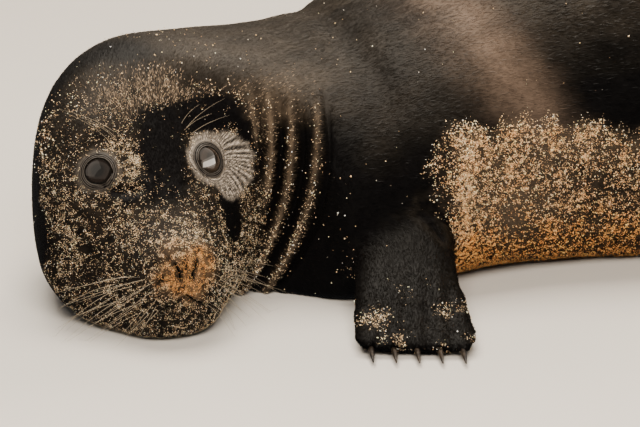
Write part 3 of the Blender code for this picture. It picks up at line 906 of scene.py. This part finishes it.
def add_node(tree, kind, values, **settings):
    """A node's first output, or the one that its settings name as result."""
    result = settings.pop("result", 0)
    made = tree.nodes.new("ShaderNode" + kind)
    for name, value in settings.items():
        setattr(made, name, value)
    feed(tree, made.inputs, values)
    return made.outputs[result]


def maths(tree, operation, *values):
    return add_node(tree, "Math", dict(enumerate(values)), operation=operation)


def scaled(tree, colour, factor):
    return add_node(tree, "VectorMath", {0: colour, "Scale": factor}, operation="SCALE")


MIX_FACTOR, MIX_FIRST, MIX_SECOND, MIX_RESULT = 0, 6, 7, 2  # a Mix node's sockets for colours


def mixed(tree, factor, first, second):
    values = {MIX_FACTOR: factor, MIX_FIRST: first, MIX_SECOND: second}
    return add_node(tree, "Mix", values, data_type="RGBA", result=MIX_RESULT)


def new_group(name, *values):
    """A node group from a Colour and some values to a Colour: the group, its input and its place."""
    group = bpy.data.node_groups.new(name, "ShaderNodeTree")
    group.interface.new_socket("Colour", in_out="INPUT", socket_type="NodeSocketColor")
    for value in values:
        group.interface.new_socket(value, in_out="INPUT", socket_type="NodeSocketFloat")
    group.interface.new_socket("Colour", in_out="OUTPUT", socket_type="NodeSocketColor")
    given = group.nodes.new("NodeGroupInput").outputs
    return group, given, add_node(group, "TexCoord", {}, result="Object")


def give_back(group, colour):
    group.links.new(colour, group.nodes.new("NodeGroupOutput").inputs["Colour"])


# Fine light and dark hairs, and larger soft patches, as one factor round 1.
MOTTLE_SCALES = (38.0, 420.0)

mottle, given, place = new_group("coat mottle", "Strength")
patches, hair_specks = (add_node(mottle, "TexNoise", {"Vector": place, "Scale": scale, "Detail": 3.0})
                        for scale in MOTTLE_SCALES)
offset = maths(mottle, "SUBTRACT", 1.0, given["Strength"])
light_and_dark = maths(mottle, "ADD", patches, hair_specks)
factor = maths(mottle, "MULTIPLY_ADD", light_and_dark, given["Strength"], offset)
give_back(mottle, scaled(mottle, given["Colour"], factor))

# Specks of sand down in the fur, as thick as Sand says and darker where it is wet.
SPECK_SCALE = 1050.0  # specks about a millimetre apart
SPECK_RADIUS = 0.43  # as a share of that
CLUMP_SCALE = 300.0  # they gather in clumps some 3 mm wide
DRY_SAND = (0.80, 0.60, 0.39, 1.0)
DAMP_SAND = (0.60, 0.300, 0.120, 1.0)

fine_sand, given, place = new_group("fine sand", "Sand", "Wet")
from_speck = add_node(fine_sand, "TexVoronoi", {"Vector": place, "Scale": SPECK_SCALE})
speck_colour = from_speck.node.outputs["Color"]
chances = add_node(fine_sand, "SeparateColor", {"Color": speck_colour}).node.outputs
clumps = add_node(fine_sand, "TexNoise", {"Vector": place, "Scale": CLUMP_SCALE})
gathered = add_node(fine_sand, "MapRange", {"Value": clumps, "From Min": 0.32, "From Max": 0.68,
                                            "To Min": 0.15, "To Max": 1.85})
thickness = maths(fine_sand, "MULTIPLY", given["Sand"], gathered)
likely = maths(fine_sand, "LESS_THAN", chances["Red"], thickness)
there = maths(fine_sand, "MULTIPLY", maths(fine_sand, "LESS_THAN", from_speck, SPECK_RADIUS), likely)
brightness = add_node(fine_sand, "MapRange", {"Value": chances["Green"], "To Min": 0.45, "To Max": 1.25})
grain = scaled(fine_sand, mixed(fine_sand, given["Wet"], DRY_SAND, DAMP_SAND), brightness)
give_back(fine_sand, mixed(fine_sand, there, given["Colour"], grain))


def new_finish(name):
    """A material, its node tree and the inputs of its shader."""
    made = bpy.data.materials.new(name)
    made.use_nodes = True
    return made, made.node_tree, made.node_tree.nodes["Principled BSDF"].inputs


def field_of(tree, name, part="Fac"):
    return add_node(tree, "Attribute", {}, attribute_name=name, result=part)


def through(tree, group, colour, **values):
    """The colour that a node group makes of this one."""
    made = tree.nodes.new("ShaderNodeGroup")
    made.node_tree = group
    feed(tree, made.inputs, {"Colour": colour, **values})
    return made.outputs["Colour"]


def fur_colour(tree):
    furry = through(tree, mottle, field_of(tree, "tone", "Color"), Strength=0.45)
    return through(tree, fine_sand, furry, Sand=field_of(tree, "sand"), Wet=field_of(tree, "wet"))


HAIR_SCALE = (300.0, 2300.0, 1.0)  # long specks along the hairs, fine across them

hide_finish, tree, shader = new_finish("hide under the coat")
shine = add_node(tree, "MapRange", {"Value": field_of(tree, "bare"), "To Min": 0.62, "To Max": 0.22})
lie_map = add_node(tree, "Mapping", {"Vector": field_of(tree, "hairs", "Vector"), "Scale": HAIR_SCALE})
strands = add_node(tree, "TexNoise", {"Vector": lie_map, "Scale": 1.0, "Detail": 3.0})
relief = add_node(tree, "Bump", {"Height": strands, "Strength": 0.45, "Distance": 0.0005})
feed(tree, shader, {"Base Color": fur_colour(tree), "Roughness": shine, "Normal": relief,
                    "Specular IOR Level": 0.22})
skin.data.materials.clear()
skin.data.materials.append(hide_finish)
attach(skin, "root")
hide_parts(*flesh)

# --- The coat ------------------------------------------------------------------------------------
# Short flat fur in tufts: each is one thin blade that leaves the skin at its root, lies back over
# the ones behind and ends in a point. They are shortest on the face and the flippers.

COATS = (
    # piece, tufts, length, width, stand
    ("coat_face", 62000, 0.0028, 0.00045, 0.0005),
    ("coat_neck", 65000, 0.0044, 0.00046, 0.0005),
    ("coat_chest", 64000, 0.0056, 0.00056, 0.0006),
    ("coat_back", 42000, 0.0064, 0.00070, 0.0009),
    ("coat_belly", 32000, 0.0066, 0.00080, 0.0009),
    ("coat_hips", 40000, 0.0060, 0.00070, 0.0008),
    ("coat_hands", 40000, 0.0036, 0.00060, 0.0006),
    ("coat_feet", 32000, 0.0034, 0.00060, 0.0006),
)
FACE_COAT_END = 0.118  # behind the nose
BACK_FROM = 0.12  # height
UNDERSIDE_HEIGHT, UNDERSIDE_NORMAL = 0.0016, -0.3  # no fur where the seal rests on the floor
FLOOR_CLEAR = 0.0002
# Hairs lighter with dust, and with painted highlight on the crests of the folds.
DUST_AND_SHEEN_HAIR = np.array([0.215, 0.155, 0.104])
DUST_AND_SHEEN_SHARE = 0.42
DUST_AND_SHEEN_LENGTH = 0.0026  # at most
ROOT_SUNK = 0.0003
WAY_STRAYS = 0.16  # radians that a tuft strays from the lie of the coat
TUFT_ROLL = 0.22  # radians that it turns on its own line
TUFT_SIZES, TUFT_WIDTHS = (0.7, 1.25), (0.7, 1.2)  # shares of the piece's length and width
TUFT_STANDS, TIP_STANDS = (0.5, 1.3), (0.5, 1.35)
NOSE_SIZE, FACE_GAIN = 0.75, 0.55  # the face's tufts grow by the gain on the way back
SHADE_SPREAD = 0.16
TUFT_SHADES = np.array([0.62, 0.62, 0.97, 0.97, 1.25])  # darker at the root, lighter at the tip
TUFT_TRIANGLES = np.array([(0, 1, 3), (0, 3, 2), (2, 3, 4)])
PATCH = 0.0015  # half the width of a tuft's place on the bake map
TUFT_PATCH = np.array([(-PATCH, -PATCH), (PATCH, -PATCH), (-PATCH, 0), (PATCH, 0), (0, PATCH)])
SPINE_MAPS = {"coat_neck": (0.105, 0.30), "coat_chest": (0.28, 0.51), "coat_back": (0.49, 0.79),
              "coat_belly": (0.49, 0.79), "coat_hips": (0.77, 1.13)}  # stretches of the spine
FLIPPER_MAPS = {"coat_hands": (FLIPPERS[:2], 0.24), "coat_feet": (FLIPPERS[2:], 0.26)}  # and lengths
FLIPPER_WIDTH = 0.16

triangle_owner = owner[triangles[:, 0]]
on_back = height[triangles].mean(1) >= BACK_FROM
on_muzzle = head_along[triangles].mean(1) < FACE_COAT_END
coat_zone = {
    "coat_face": (triangle_owner == "head") & on_muzzle,
    "coat_neck": (triangle_owner == "head") & ~on_muzzle | (triangle_owner == "neck"),
    "coat_chest": triangle_owner == "chest",
    "coat_back": (triangle_owner == "belly") & on_back,
    "coat_belly": (triangle_owner == "belly") & ~on_back,
    "coat_hips": np.isin(triangle_owner, ("hips", "tail")),
    "coat_hands": np.isin(triangle_owner, FLIPPERS[:2]),
    "coat_feet": np.isin(triangle_owner, FLIPPERS[2:]),
}
corner, second_corner, third_corner = (points[triangles[:, k]] for k in range(3))
area = np.linalg.norm(np.cross(second_corner - corner, third_corner - corner), axis=1) / 2
furred = 1 - np.clip(bare * 1.5, 0, 1)
furred *= (points[:, 2] > UNDERSIDE_HEIGHT) | (normals[:, 2] > UNDERSIDE_NORMAL)

# Each piece's own part of the skin, opened flat for baking: two numbers from 0 to 1 for each point.
angle = np.arctan2(height - BODY_AXIS, out) / (2 * math.pi) + 0.5
round_body = 0.01 + 0.98 * angle
from_middle = 0.48 * np.clip(head_along / BODY_SPANS["head"][1], 0, 1) ** 0.8
circle = np.cos(2 * math.pi * angle), np.sin(2 * math.pi * angle)
flat = {"coat_face": np.stack([0.5 + from_middle * way for way in circle], 1)}
for piece, (start, end) in SPINE_MAPS.items():
    flat[piece] = np.stack([np.clip((along - start) / (end - start), 0.01, 0.99), round_body], 1)
for piece, (names, reach) in FLIPPER_MAPS.items():
    flat[piece] = np.zeros((len(points), 2))
    for k, name in enumerate(names):
        mine = owner == name
        row = 2 * k + (normals[mine, 2] < 0)
        flat[piece][mine, 0] = np.clip(1 + flipper_run[mine] / reach, 0.01, 0.99)
        flat[piece][mine, 1] = (row + np.clip(0.5 + flipper_across[mine] / FLIPPER_WIDTH, 0.04, 0.96)) / 4


def scatter(chance, weight, count):
    """Random places on the skin: the corners of each one's triangle, and their shares in it."""
    picks = chance.choice(len(triangles), count, p=weight / weight.sum())
    first, second = np.sqrt(chance.random(count)), chance.random(count)
    return triangles[picks], np.stack([1 - first, first * (1 - second), first * second], 1)


def at(field, places):
    """A field of the skin read at scattered places."""
    corners, shares = places
    if field.ndim == 2:
        shares = shares[:, :, None]
    return (field[corners] * shares).sum(1)


def mesh_from(name, points, triangles, finish, fields, bake_map=None):
    """One object from arrays of points and triangles, on the body of the seal."""
    data = bpy.data.meshes.new(name)
    data.vertices.add(len(points))
    data.vertices.foreach_set("co", np.asarray(points, np.float32).ravel())
    data.loops.add(triangles.size)
    data.loops.foreach_set("vertex_index", np.asarray(triangles, np.int32).ravel())
    data.polygons.add(len(triangles))
    data.polygons.foreach_set("loop_start", np.arange(0, triangles.size, 3, dtype=np.int32))
    data.update(calc_edges=True)
    for field_name, values in fields.items():
        keep_field(data, field_name, values)
    if bake_map is not None:
        layer = data.uv_layers.new(name="OFBake")
        layer.uv.foreach_set("vector", np.asarray(bake_map[triangles.ravel()], np.float32).ravel())
    data.materials.append(finish)
    made = bpy.data.objects.new(name, data)
    bpy.context.scene.collection.objects.link(made)
    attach(made, "root")
    return made


def mesh_of_copies(piece, shapes, shape_triangles, finish, fields, spots):
    """Many small copies of one shape as a piece: the points and the map of each come in a row."""
    count, corners = shapes.shape[:2]
    shapes[..., 2] = np.maximum(shapes[..., 2], FLOOR_CLEAR)
    tris = (np.arange(count)[:, None, None] * corners + shape_triangles[None]).reshape(-1, 3)
    mesh_from(piece, shapes.reshape(-1, 3), tris, finish, fields, spots.reshape(-1, 2))


def fur_finish(name, gloss, sheen):
    made, tree, shader = new_finish(name)
    feed(tree, shader, {
        "Base Color": fur_colour(tree), "Roughness": 0.50, "Specular IOR Level": gloss,
        "Sheen Weight": sheen, "Sheen Roughness": 0.35, "Sheen Tint": (0.80, 0.70, 0.58, 1.0)})
    return made


def wet_reflection_streaks(spots):
    """Light and dark locks of the painted reflection round the left eye: they spread from it, and lie in
    folds on the lid.
    """
    _, radius, angle = round_eye(spots, "eye_left")
    wave = np.sin(54 * angle + 4 * np.sin(7 * angle) + 220 * radius)
    near_lid = step_down(radius, 0.017, 0.023)
    fold = np.sin(radius * 2 * math.pi / 0.0026 + 2 * np.sin(3 * angle))
    return 0.05 + 1.60 * (0.5 + 0.5 * (wave * (1 - near_lid) + fold * near_lid)) ** 2.0


def grow_coat(piece, count, length, width, stand, chance):
    places = scatter(chance, area * coat_zone[piece] * furred[triangles].min(1), count)
    root = at(points, places)
    up = unit(at(normals, places))
    way = at(lie, places)
    way = unit(way + np.cross(up, way) * chance.normal(0, WAY_STRAYS, count)[:, None])
    colour = at(tone, places)
    # The painted reflection round the left eye runs in light and dark locks.
    if piece == "coat_face":
        colour *= 1 + (wet_reflection_streaks(root) - 1)[:, None] * at(ring, places)[:, None]
    # Dust colours single hairs, and on the crests of the folds painted highlight too.
    dust_and_sheen_tufts = chance.random(count) < DUST_AND_SHEEN_SHARE * at(dust_and_sheen, places)
    colour = np.where(dust_and_sheen_tufts[:, None], DUST_AND_SHEEN_HAIR * chance.uniform(0.3, 1.7, (count, 1)), colour)
    size = chance.uniform(*TUFT_SIZES, count) * np.where(dust_and_sheen_tufts, min(1.0, DUST_AND_SHEEN_LENGTH / length), 1.0)
    if piece == "coat_face":
        size *= NOSE_SIZE + FACE_GAIN * step_up(at(head_along, places), 0.03, 0.115)
    long = (length * size)[:, None]
    roll = chance.normal(0, TUFT_ROLL, count)[:, None]
    across = np.cross(up, way) * np.cos(roll) + up * np.sin(roll)
    half = across * (width * chance.uniform(*TUFT_WIDTHS, count))[:, None] / 2
    tall = stand * chance.uniform(*TUFT_STANDS, count)[:, None]
    foot = root - up * ROOT_SUNK
    middle = root + way * (0.5 * long) + up * tall
    tip = root + way * long + up * tall * chance.uniform(*TIP_STANDS, count)[:, None]
    tufts = np.stack([foot - half, foot + half, middle - half * 0.8, middle + half * 0.8, tip], 1)
    shade = chance.normal(1.0, SHADE_SPREAD, count).clip(0.5, 1.6)[:, None, None]
    tones = colour[:, None, :] * shade * TUFT_SHADES[None, :, None]
    fields = {"tone": tones.reshape(-1, 3)}
    for name, values in (("sand", film), ("wet", wet)):
        fields[name] = np.repeat(at(values, places), len(TUFT_SHADES))
    spots = at(flat[piece], places)[:, None, :] + TUFT_PATCH[None]
    finish = flipper_finish if piece in FLIPPER_MAPS else coat_finish
    mesh_of_copies(piece, tufts, TUFT_TRIANGLES, finish, fields, spots)


coat_finish = fur_finish("short black fur", 0.20, 0.03)
flipper_finish = fur_finish("worn fur of the flippers", 0.10, 0.01)
for number, coat in enumerate(COATS):
    grow_coat(*coat, np.random.default_rng(100 + number))

# --- The sand ------------------------------------------------------------------------------------
# Grains of beach sand caught in the fur: thick on the face and the left flank, thin elsewhere. Each
# is one small sharp chip of four faces that rests on the tips of the coat.

GRAIN_COLOURS = np.array([[0.86, 0.66, 0.42], [0.72, 0.49, 0.27], [0.92, 0.82, 0.66],
                          [0.48, 0.29, 0.15], [0.78, 0.73, 0.66], [0.15, 0.10, 0.07]])
GRAIN_SHARES = (0.38, 0.24, 0.18, 0.10, 0.06, 0.04)
GRAIN_SPREAD = 0.32  # of the sizes, as a lognormal
GRAIN_LIMITS = np.array([0.5, 2.2])  # shares of the mean size
GRAIN_STRETCH = (0.7, 1.25)
GRAIN_LIFTS = (0.6, 1.15)
GRAIN_SHADES, PALEST = (0.80, 1.55), 0.97
THICKEST = 1.5
DAMP = np.array([0.04, 0.42, 0.74])  # what wetness takes from red, green and blue
CHIP = np.array([[1, 1, 1], [1, -1, -1], [-1, 1, -1], [-1, -1, 1]]) / math.sqrt(3)
CHIP_TRIANGLES = np.array([[0, 1, 2], [0, 2, 3], [0, 3, 1], [1, 3, 2]])
MOST_GRAINS = 44000
CLUMP_LOOSE = 0.17  # how far chance loosens the clumps
MM2_IN_M2 = 1e6
FLOOR_BAND = 0.0015  # no grains under this height
FLIPPER_LIFT = 0.0010

sand_finish, tree, shader = new_finish("grains of sand")
feed(tree, shader, {"Base Color": field_of(tree, "tone", "Color"), "Roughness": 0.42,
                    "Specular IOR Level": 0.6})
coat_lift = trunk_to_face(COAT_DEPTH * 0.95, FACE_COAT_DEPTH, head_along, on_head)
coat_lift = np.where(on_flipper, FLIPPER_LIFT, coat_lift)


def strew(piece, zone, bake_map, mean_size, thickness, chance):
    """Sand over a zone of the skin: thickness grains to the square millimetre where it lies thick."""
    grains = (thickness * np.clip(sand, 0, THICKEST) + loose) * (1 - bare) * (points[:, 2] > FLOOR_BAND)
    weight = area * MM2_IN_M2 * grains[triangles].mean(1) * zone
    count = min(int(weight.sum()), MOST_GRAINS)
    places = scatter(chance, weight, 2 * count)
    gather = [noise.noise(Vector(spot) * CLUMP_SCALE) for spot in at(points, places)]
    kept = np.argsort(gather + chance.normal(0, CLUMP_LOOSE, 2 * count))[count:]
    places = [part[kept] for part in places]
    size = chance.lognormal(math.log(mean_size), GRAIN_SPREAD, count)
    size = np.clip(size, *(GRAIN_LIMITS * mean_size))
    lift = (at(coat_lift, places) * chance.uniform(*GRAIN_LIFTS, count))[:, None]
    spot = at(points, places) + unit(at(normals, places)) * lift
    turns = np.linalg.qr(chance.normal(size=(count, 3, 3)))[0]
    turns *= np.sign(np.linalg.det(turns))[:, None, None]
    shape = CHIP[None] * chance.uniform(*GRAIN_STRETCH, (count, 1, 3)) * size[:, None, None]
    colour = GRAIN_COLOURS[chance.choice(len(GRAIN_SHARES), count, p=GRAIN_SHARES)]
    colour = colour * (1 - at(wet, places)[:, None] * DAMP)
    colour = np.minimum(colour * chance.uniform(*GRAIN_SHADES, (count, 1)), PALEST)
    spots = at(bake_map, places)[:, None, :] + CHIP[None, :, :2] * PATCH
    mesh_of_copies(piece, spot[:, None, :] + shape @ turns, CHIP_TRIANGLES, sand_finish,
                   {"tone": np.repeat(colour, len(CHIP), 0)}, spots)


whole_map = np.stack([np.clip(along / BODY_LENGTH, 0.01, 0.99), round_body], 1)
face_zone = coat_zone["coat_face"]
flank_zone = (triangle_owner != "head") & (flank[triangles].mean(1) > 0.02)
for number, zone in enumerate((
    # piece, zone, bake map, mean size of a grain, thickness
    ("sand_on_face", face_zone, flat["coat_face"], 0.00027, 2.20),
    ("sand_on_flank", flank_zone, whole_map, 0.00055, 1.25),
    ("sand_on_body", ~face_zone & ~flank_zone, whole_map, 0.00050, 0.80),
)):
    strew(*zone, np.random.default_rng(301 + number))

# --- The eyes ------------------------------------------------------------------------------------
# Large dark balls with a clear wet cornea: a black pupil in a brown iris that is nearly as dark,
# and a dark white of which only the rim ever shows. Each ball sits behind its lids.

CORNEA_RADIUS = 0.0108
CORNEA_PROUD = 0.0006
BALL_INSET = 0.0002  # under the ball of the solids
RINGS_RADIUS = 0.014  # the colours go out from the pupil's middle to here
PUPIL = 0.0050 / RINGS_RADIUS
IRIS = 0.0098 / RINGS_RADIUS
EYE_RINGS = ((0.0, (0.002, 0.002, 0.002)), (PUPIL, (0.003, 0.0025, 0.002)),
             (PUPIL + 0.03, (0.006, 0.0045, 0.0035)), (IRIS - 0.06, (0.010, 0.007, 0.0055)),
             (IRIS, (0.004, 0.003, 0.002)), (1.0, (0.006, 0.0045, 0.0035)))


def ramp_of(tree, factor, stops):
    """A colour ramp through these places and colours."""
    made = add_node(tree, "ValToRGB", {"Fac": factor})
    ramp = made.node.color_ramp
    while len(ramp.elements) < len(stops):
        ramp.elements.new(0.5)
    for element, (place, colour) in zip(ramp.elements, stops):
        element.position = place
        element.color = (*colour, 1.0)
    return made


eye_finish, tree, shader = new_finish("wet brown eye")
brown = through(tree, mottle, ramp_of(tree, field_of(tree, "ring"), EYE_RINGS), Strength=0.3)
feed(tree, shader, {"Base Color": brown, "Roughness": 0.04, "IOR": 1.45})

balls = {}
for name in EYES:
    bpy.ops.mesh.primitive_uv_sphere_add(segments=72, ring_count=48, radius=1.0)
    ball = bpy.context.object
    ball.name = ball.data.name = name + "_ball"
    ball.select_set(False)
    ways = np.empty(len(ball.data.vertices) * 3)
    ball.data.vertices.foreach_get("co", ways)
    ways = ways.reshape(-1, 3)
    in_front = ways[:, 2] > 0
    off_axis = np.hypot(ways[:, 0], ways[:, 1]) * BALL_RADIUS
    radius = BALL_RADIUS + CORNEA_PROUD * step_down(off_axis, 0.0, CORNEA_RADIUS) * in_front - BALL_INSET
    turn_to = np.array(Vector((0, 0, 1)).rotation_difference(Vector(eye_axes[name])).to_matrix())
    ball.data.vertices.foreach_set("co", ((ways * radius[:, None]) @ turn_to.T + middle_of(name)).ravel())
    keep_field(ball.data, "ring", np.where(in_front, off_axis / RINGS_RADIUS, 1.0))
    ball.data.shade_smooth()
    ball.data.materials.append(eye_finish)
    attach(ball, "root")
    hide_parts(name)
    balls[name] = ball

# --- The whiskers --------------------------------------------------------------------------------
# Stiff, pale, slightly beaded hairs: rows of them sweep back from each pad, and a few stand over
# each eye.

WHISKER_SIDES = 5
WHISKER_SEGMENTS = 12
WHISKER_THICK = 0.00030
WHISKER_TIP = 0.00003  # radius
BEAD_STEP = 0.0030
WHISKER_SUNK = 0.001
PAD_WHISKER = (0.026, 0.058)  # lengths at the front and the back of a row
ROW_LENGTH = 0.045
BROW_WHISKERS = ((0.083, 0.028, 0.154), (0.084, 0.031, 0.156), (0.081, 0.033, 0.151),
                 (0.086, 0.027, 0.158))
BROW_LENGTH = 0.042
BROW_THICK = WHISKER_THICK * 0.7
WHISKER_COLOUR = (0.34, 0.28, 0.20)

whisker_finish, tree, shader = new_finish("pale whisker")
pale = through(tree, mottle, field_of(tree, "tone", "Color"), Strength=0.3)
feed(tree, shader, {"Base Color": pale, "Roughness": 0.35})


def whisker(root, normal, way, bend, length, thick):
    """Points and triangles of one hair that tapers to its tip and bows as it goes."""
    steps = np.linspace(0, 1, WHISKER_SEGMENTS + 1)
    beads = 1 + 0.10 * np.sin(steps * length / BEAD_STEP * 2 * math.pi)
    radius = thick / 2 * (1 - steps) ** 0.6 * beads + WHISKER_TIP
    line = root - normal * WHISKER_SUNK + np.outer(steps, way) * length + np.outer(steps**2, bend) * length
    tangent = unit(np.gradient(line, axis=0))
    over = unit(np.cross(tangent, [0.3, 0.2, 1.0]))
    aside = np.cross(tangent, over)
    turn = (np.arange(WHISKER_SIDES) * 2 * math.pi / WHISKER_SIDES)[None, :, None]
    outwards = np.cos(turn) * over[:, None] + np.sin(turn) * aside[:, None]
    verts = line[:, None] + radius[:, None, None] * outwards
    verts[..., 2] = np.maximum(verts[..., 2], FLOOR_CLEAR)
    tris = []
    for row in range(0, WHISKER_SEGMENTS * WHISKER_SIDES, WHISKER_SIDES):
        for k in range(WHISKER_SIDES):
            here, after = row + k, row + (k + 1) % WHISKER_SIDES
            over_here, over_after = here + WHISKER_SIDES, after + WHISKER_SIDES
            tris += [(here, over_here, over_after), (here, over_after, after)]
    last = WHISKER_SEGMENTS * WHISKER_SIDES
    for k in range(1, WHISKER_SIDES - 1):
        tris += [(0, k, k + 1), (last, last + k + 1, last + k)]
    return verts.reshape(-1, 3), np.array(tris)


chance = np.random.default_rng(401)
for side, word in ((1, "left"), (-1, "right")):
    outwards = head_left * side
    hairs = []
    for spot, normal, back in whisker_roots[side]:
        long = PAD_WHISKER[0] + (PAD_WHISKER[1] - PAD_WHISKER[0]) * back / ROW_LENGTH
        way = normal * 0.75 + head_back * 0.55 + outwards * 0.25 + [0, 0, -0.25]
        way = way / np.linalg.norm(way) + chance.normal(0, 0.10, 3)
        bend = head_back * 0.35 + np.array([0, 0, -0.30]) + chance.normal(0, 0.08, 3)
        hairs.append(whisker(spot, normal, way, bend, long * chance.uniform(0.8, 1.15), WHISKER_THICK))
    for along_head, aside, high in BROW_WHISKERS:
        spot, normal = skin_under(along_head, side * aside, high)
        way = normal * 0.5 + outwards * 0.45 + head_back * 0.2 + [0, 0, 0.5] + chance.normal(0, 0.16, 3)
        bend = outwards * 0.25 + np.array([0, 0, -0.15])
        hairs.append(whisker(spot, normal, way, bend, BROW_LENGTH * chance.uniform(0.7, 1.1), BROW_THICK))
    starts = np.cumsum([0] + [len(hair) for hair, _ in hairs])
    hair_points = np.concatenate([hair for hair, _ in hairs])
    hair_tris = np.concatenate([tris + start for (_, tris), start in zip(hairs, starts)])
    tones = np.tile(WHISKER_COLOUR, (len(hair_points), 1))
    made = mesh_from(f"whiskers_{word}", hair_points, hair_tris, whisker_finish, {"tone": tones})
    made.data.shade_smooth()

# --- The claws -----------------------------------------------------------------------------------
# Blunt curved nails of dark horn at the tip of each digit, flecked lighter and finely nicked. They
# are the solids themselves, which only take a new finish.

HORN_SHADES = ((0.35, (0.008, 0.006, 0.005)), (0.75, (0.060, 0.044, 0.030)))

claw_finish, tree, shader = new_finish("dark horn")
place = add_node(tree, "TexCoord", {}, result="Object")
flecks = add_node(tree, "TexNoise", {"Vector": place, "Scale": 240.0, "Detail": 3.0})
nicks = add_node(tree, "Bump", {"Height": flecks, "Strength": 0.3, "Distance": 0.0003})
feed(tree, shader, {"Base Color": ramp_of(tree, flecks, HORN_SHADES), "Roughness": 0.30, "Normal": nicks})
for name in FLIPPERS:
    for k in range(1, 6):
        for material_slot in nodes[f"{name}_claw_{k}"].material_slots:
            material_slot.material = claw_finish

# --- The floor and the light ---------------------------------------------------------------------
# A plain pale floor, one broad warm light over the seal, one behind it and one before it. The eyes
# have panels of their own instead, each where the cornea throws the line of sight back.

FLOOR_SIZE = 120.0
TRUNK_MIDDLE = (0.2, 0.0, 0.15)
KEY_COLOUR = (1.0, 0.92, 0.80)
BACK_COLOUR = (1.0, 0.85, 0.68)
FRONT_COLOUR = (1.0, 0.92, 0.81)
PANEL_COLOUR = (1.0, 0.88, 0.74)
PANELS = (
    # eye, how the mirroring place lies from the eye's axis, distance, width, depth, power
    ("eye_left", (-0.06, 0.0, 0.14), 0.75, 3.4, 2.6, 60.0),
    ("eye_left", (-0.29, 0.0, -0.28), 0.12, 0.20, 0.07, 0.78),
    ("eye_left", (-0.24, 0.0, -0.23), 0.13, 0.34, 0.14, 0.42),
    ("eye_right", (0.0, 0.0, 0.02), 0.75, 3.2, 2.4, 16.0),
    ("eye_right", (-0.34, 0.0, 0.16), 0.75, 1.3, 1.5, 6.0),
)

bpy.ops.mesh.primitive_plane_add(size=FLOOR_SIZE)
floor = bpy.context.object
floor.name = floor.data.name = "floor"
floor.select_set(False)
floor_finish, tree, shader = new_finish("pale floor")
feed(tree, shader, {"Base Color": (0.62, 0.58, 0.53, 1.0), "Roughness": 0.75})
floor.data.materials.append(floor_finish)
floor.visible_glossy = False

world = bpy.data.worlds.new("studio")
bpy.context.scene.world = world
world.use_nodes = True
feed(world.node_tree, world.node_tree.nodes["Background"].inputs,
     {"Color": (0.95, 0.96, 1.0, 1.0), "Strength": 0.12})


def soft_box(name, place, aim, width, height, power, colour):
    """A large soft light at a place, turned towards another."""
    light = bpy.data.lights.new(name, "AREA")
    light.shape = "RECTANGLE"
    light.size, light.size_y = width, height
    light.energy = power
    light.color = colour
    made = bpy.data.objects.new(name, light)
    bpy.context.scene.collection.objects.link(made)
    made.location = place
    made.rotation_euler = (Vector(aim) - Vector(place)).to_track_quat("-Z", "Y").to_euler()
    made.visible_camera = False
    return made


def light_only(light, pieces, name, state="INCLUDE"):
    """Lets a light fall only on some pieces, or on all but them."""
    group = bpy.data.collections.new(name)
    for piece in pieces:
        group.objects.link(piece)
    light.light_linking.receiver_collection = group
    for member in group.collection_objects:
        member.light_linking.link_state = state


face_middle = Vector(from_head(0.06, 0.0, 0.11))
key = soft_box("key", face_middle + Vector((-0.2, 0.5, 2.5)), face_middle, 2.0, 1.6, 120.0, KEY_COLOUR)
back = soft_box("back", face_middle + Vector((1.6, 2.2, 1.6)), TRUNK_MIDDLE, 2.0, 1.0, 80.0, BACK_COLOUR)
front = soft_box("front", face_middle + Vector((0.2, -1.9, 1.6)), face_middle + Vector((0.25, 0.0, 0.0)),
                 1.4, 1.0, 114.0, FRONT_COLOUR)
front.visible_glossy = False
light_only(key, balls.values(), "all but the eyes", "EXCLUDE")
light_only(back, balls.values(), "all but the eyes too", "EXCLUDE")
for number, (name, tilt, distance, width, depth, power) in enumerate(PANELS):
    middle = Vector(middle_of(name))
    mirror = (Vector(eye_axes[name]) + Vector(tilt)).normalized()
    thrown = view_line - 2 * view_line.dot(mirror) * mirror
    panel = soft_box(f"eye panel {number}", middle + thrown * distance, middle, width, depth, power,
                     PANEL_COLOUR)
    light_only(panel, [balls[name]], f"lit by panel {number}")
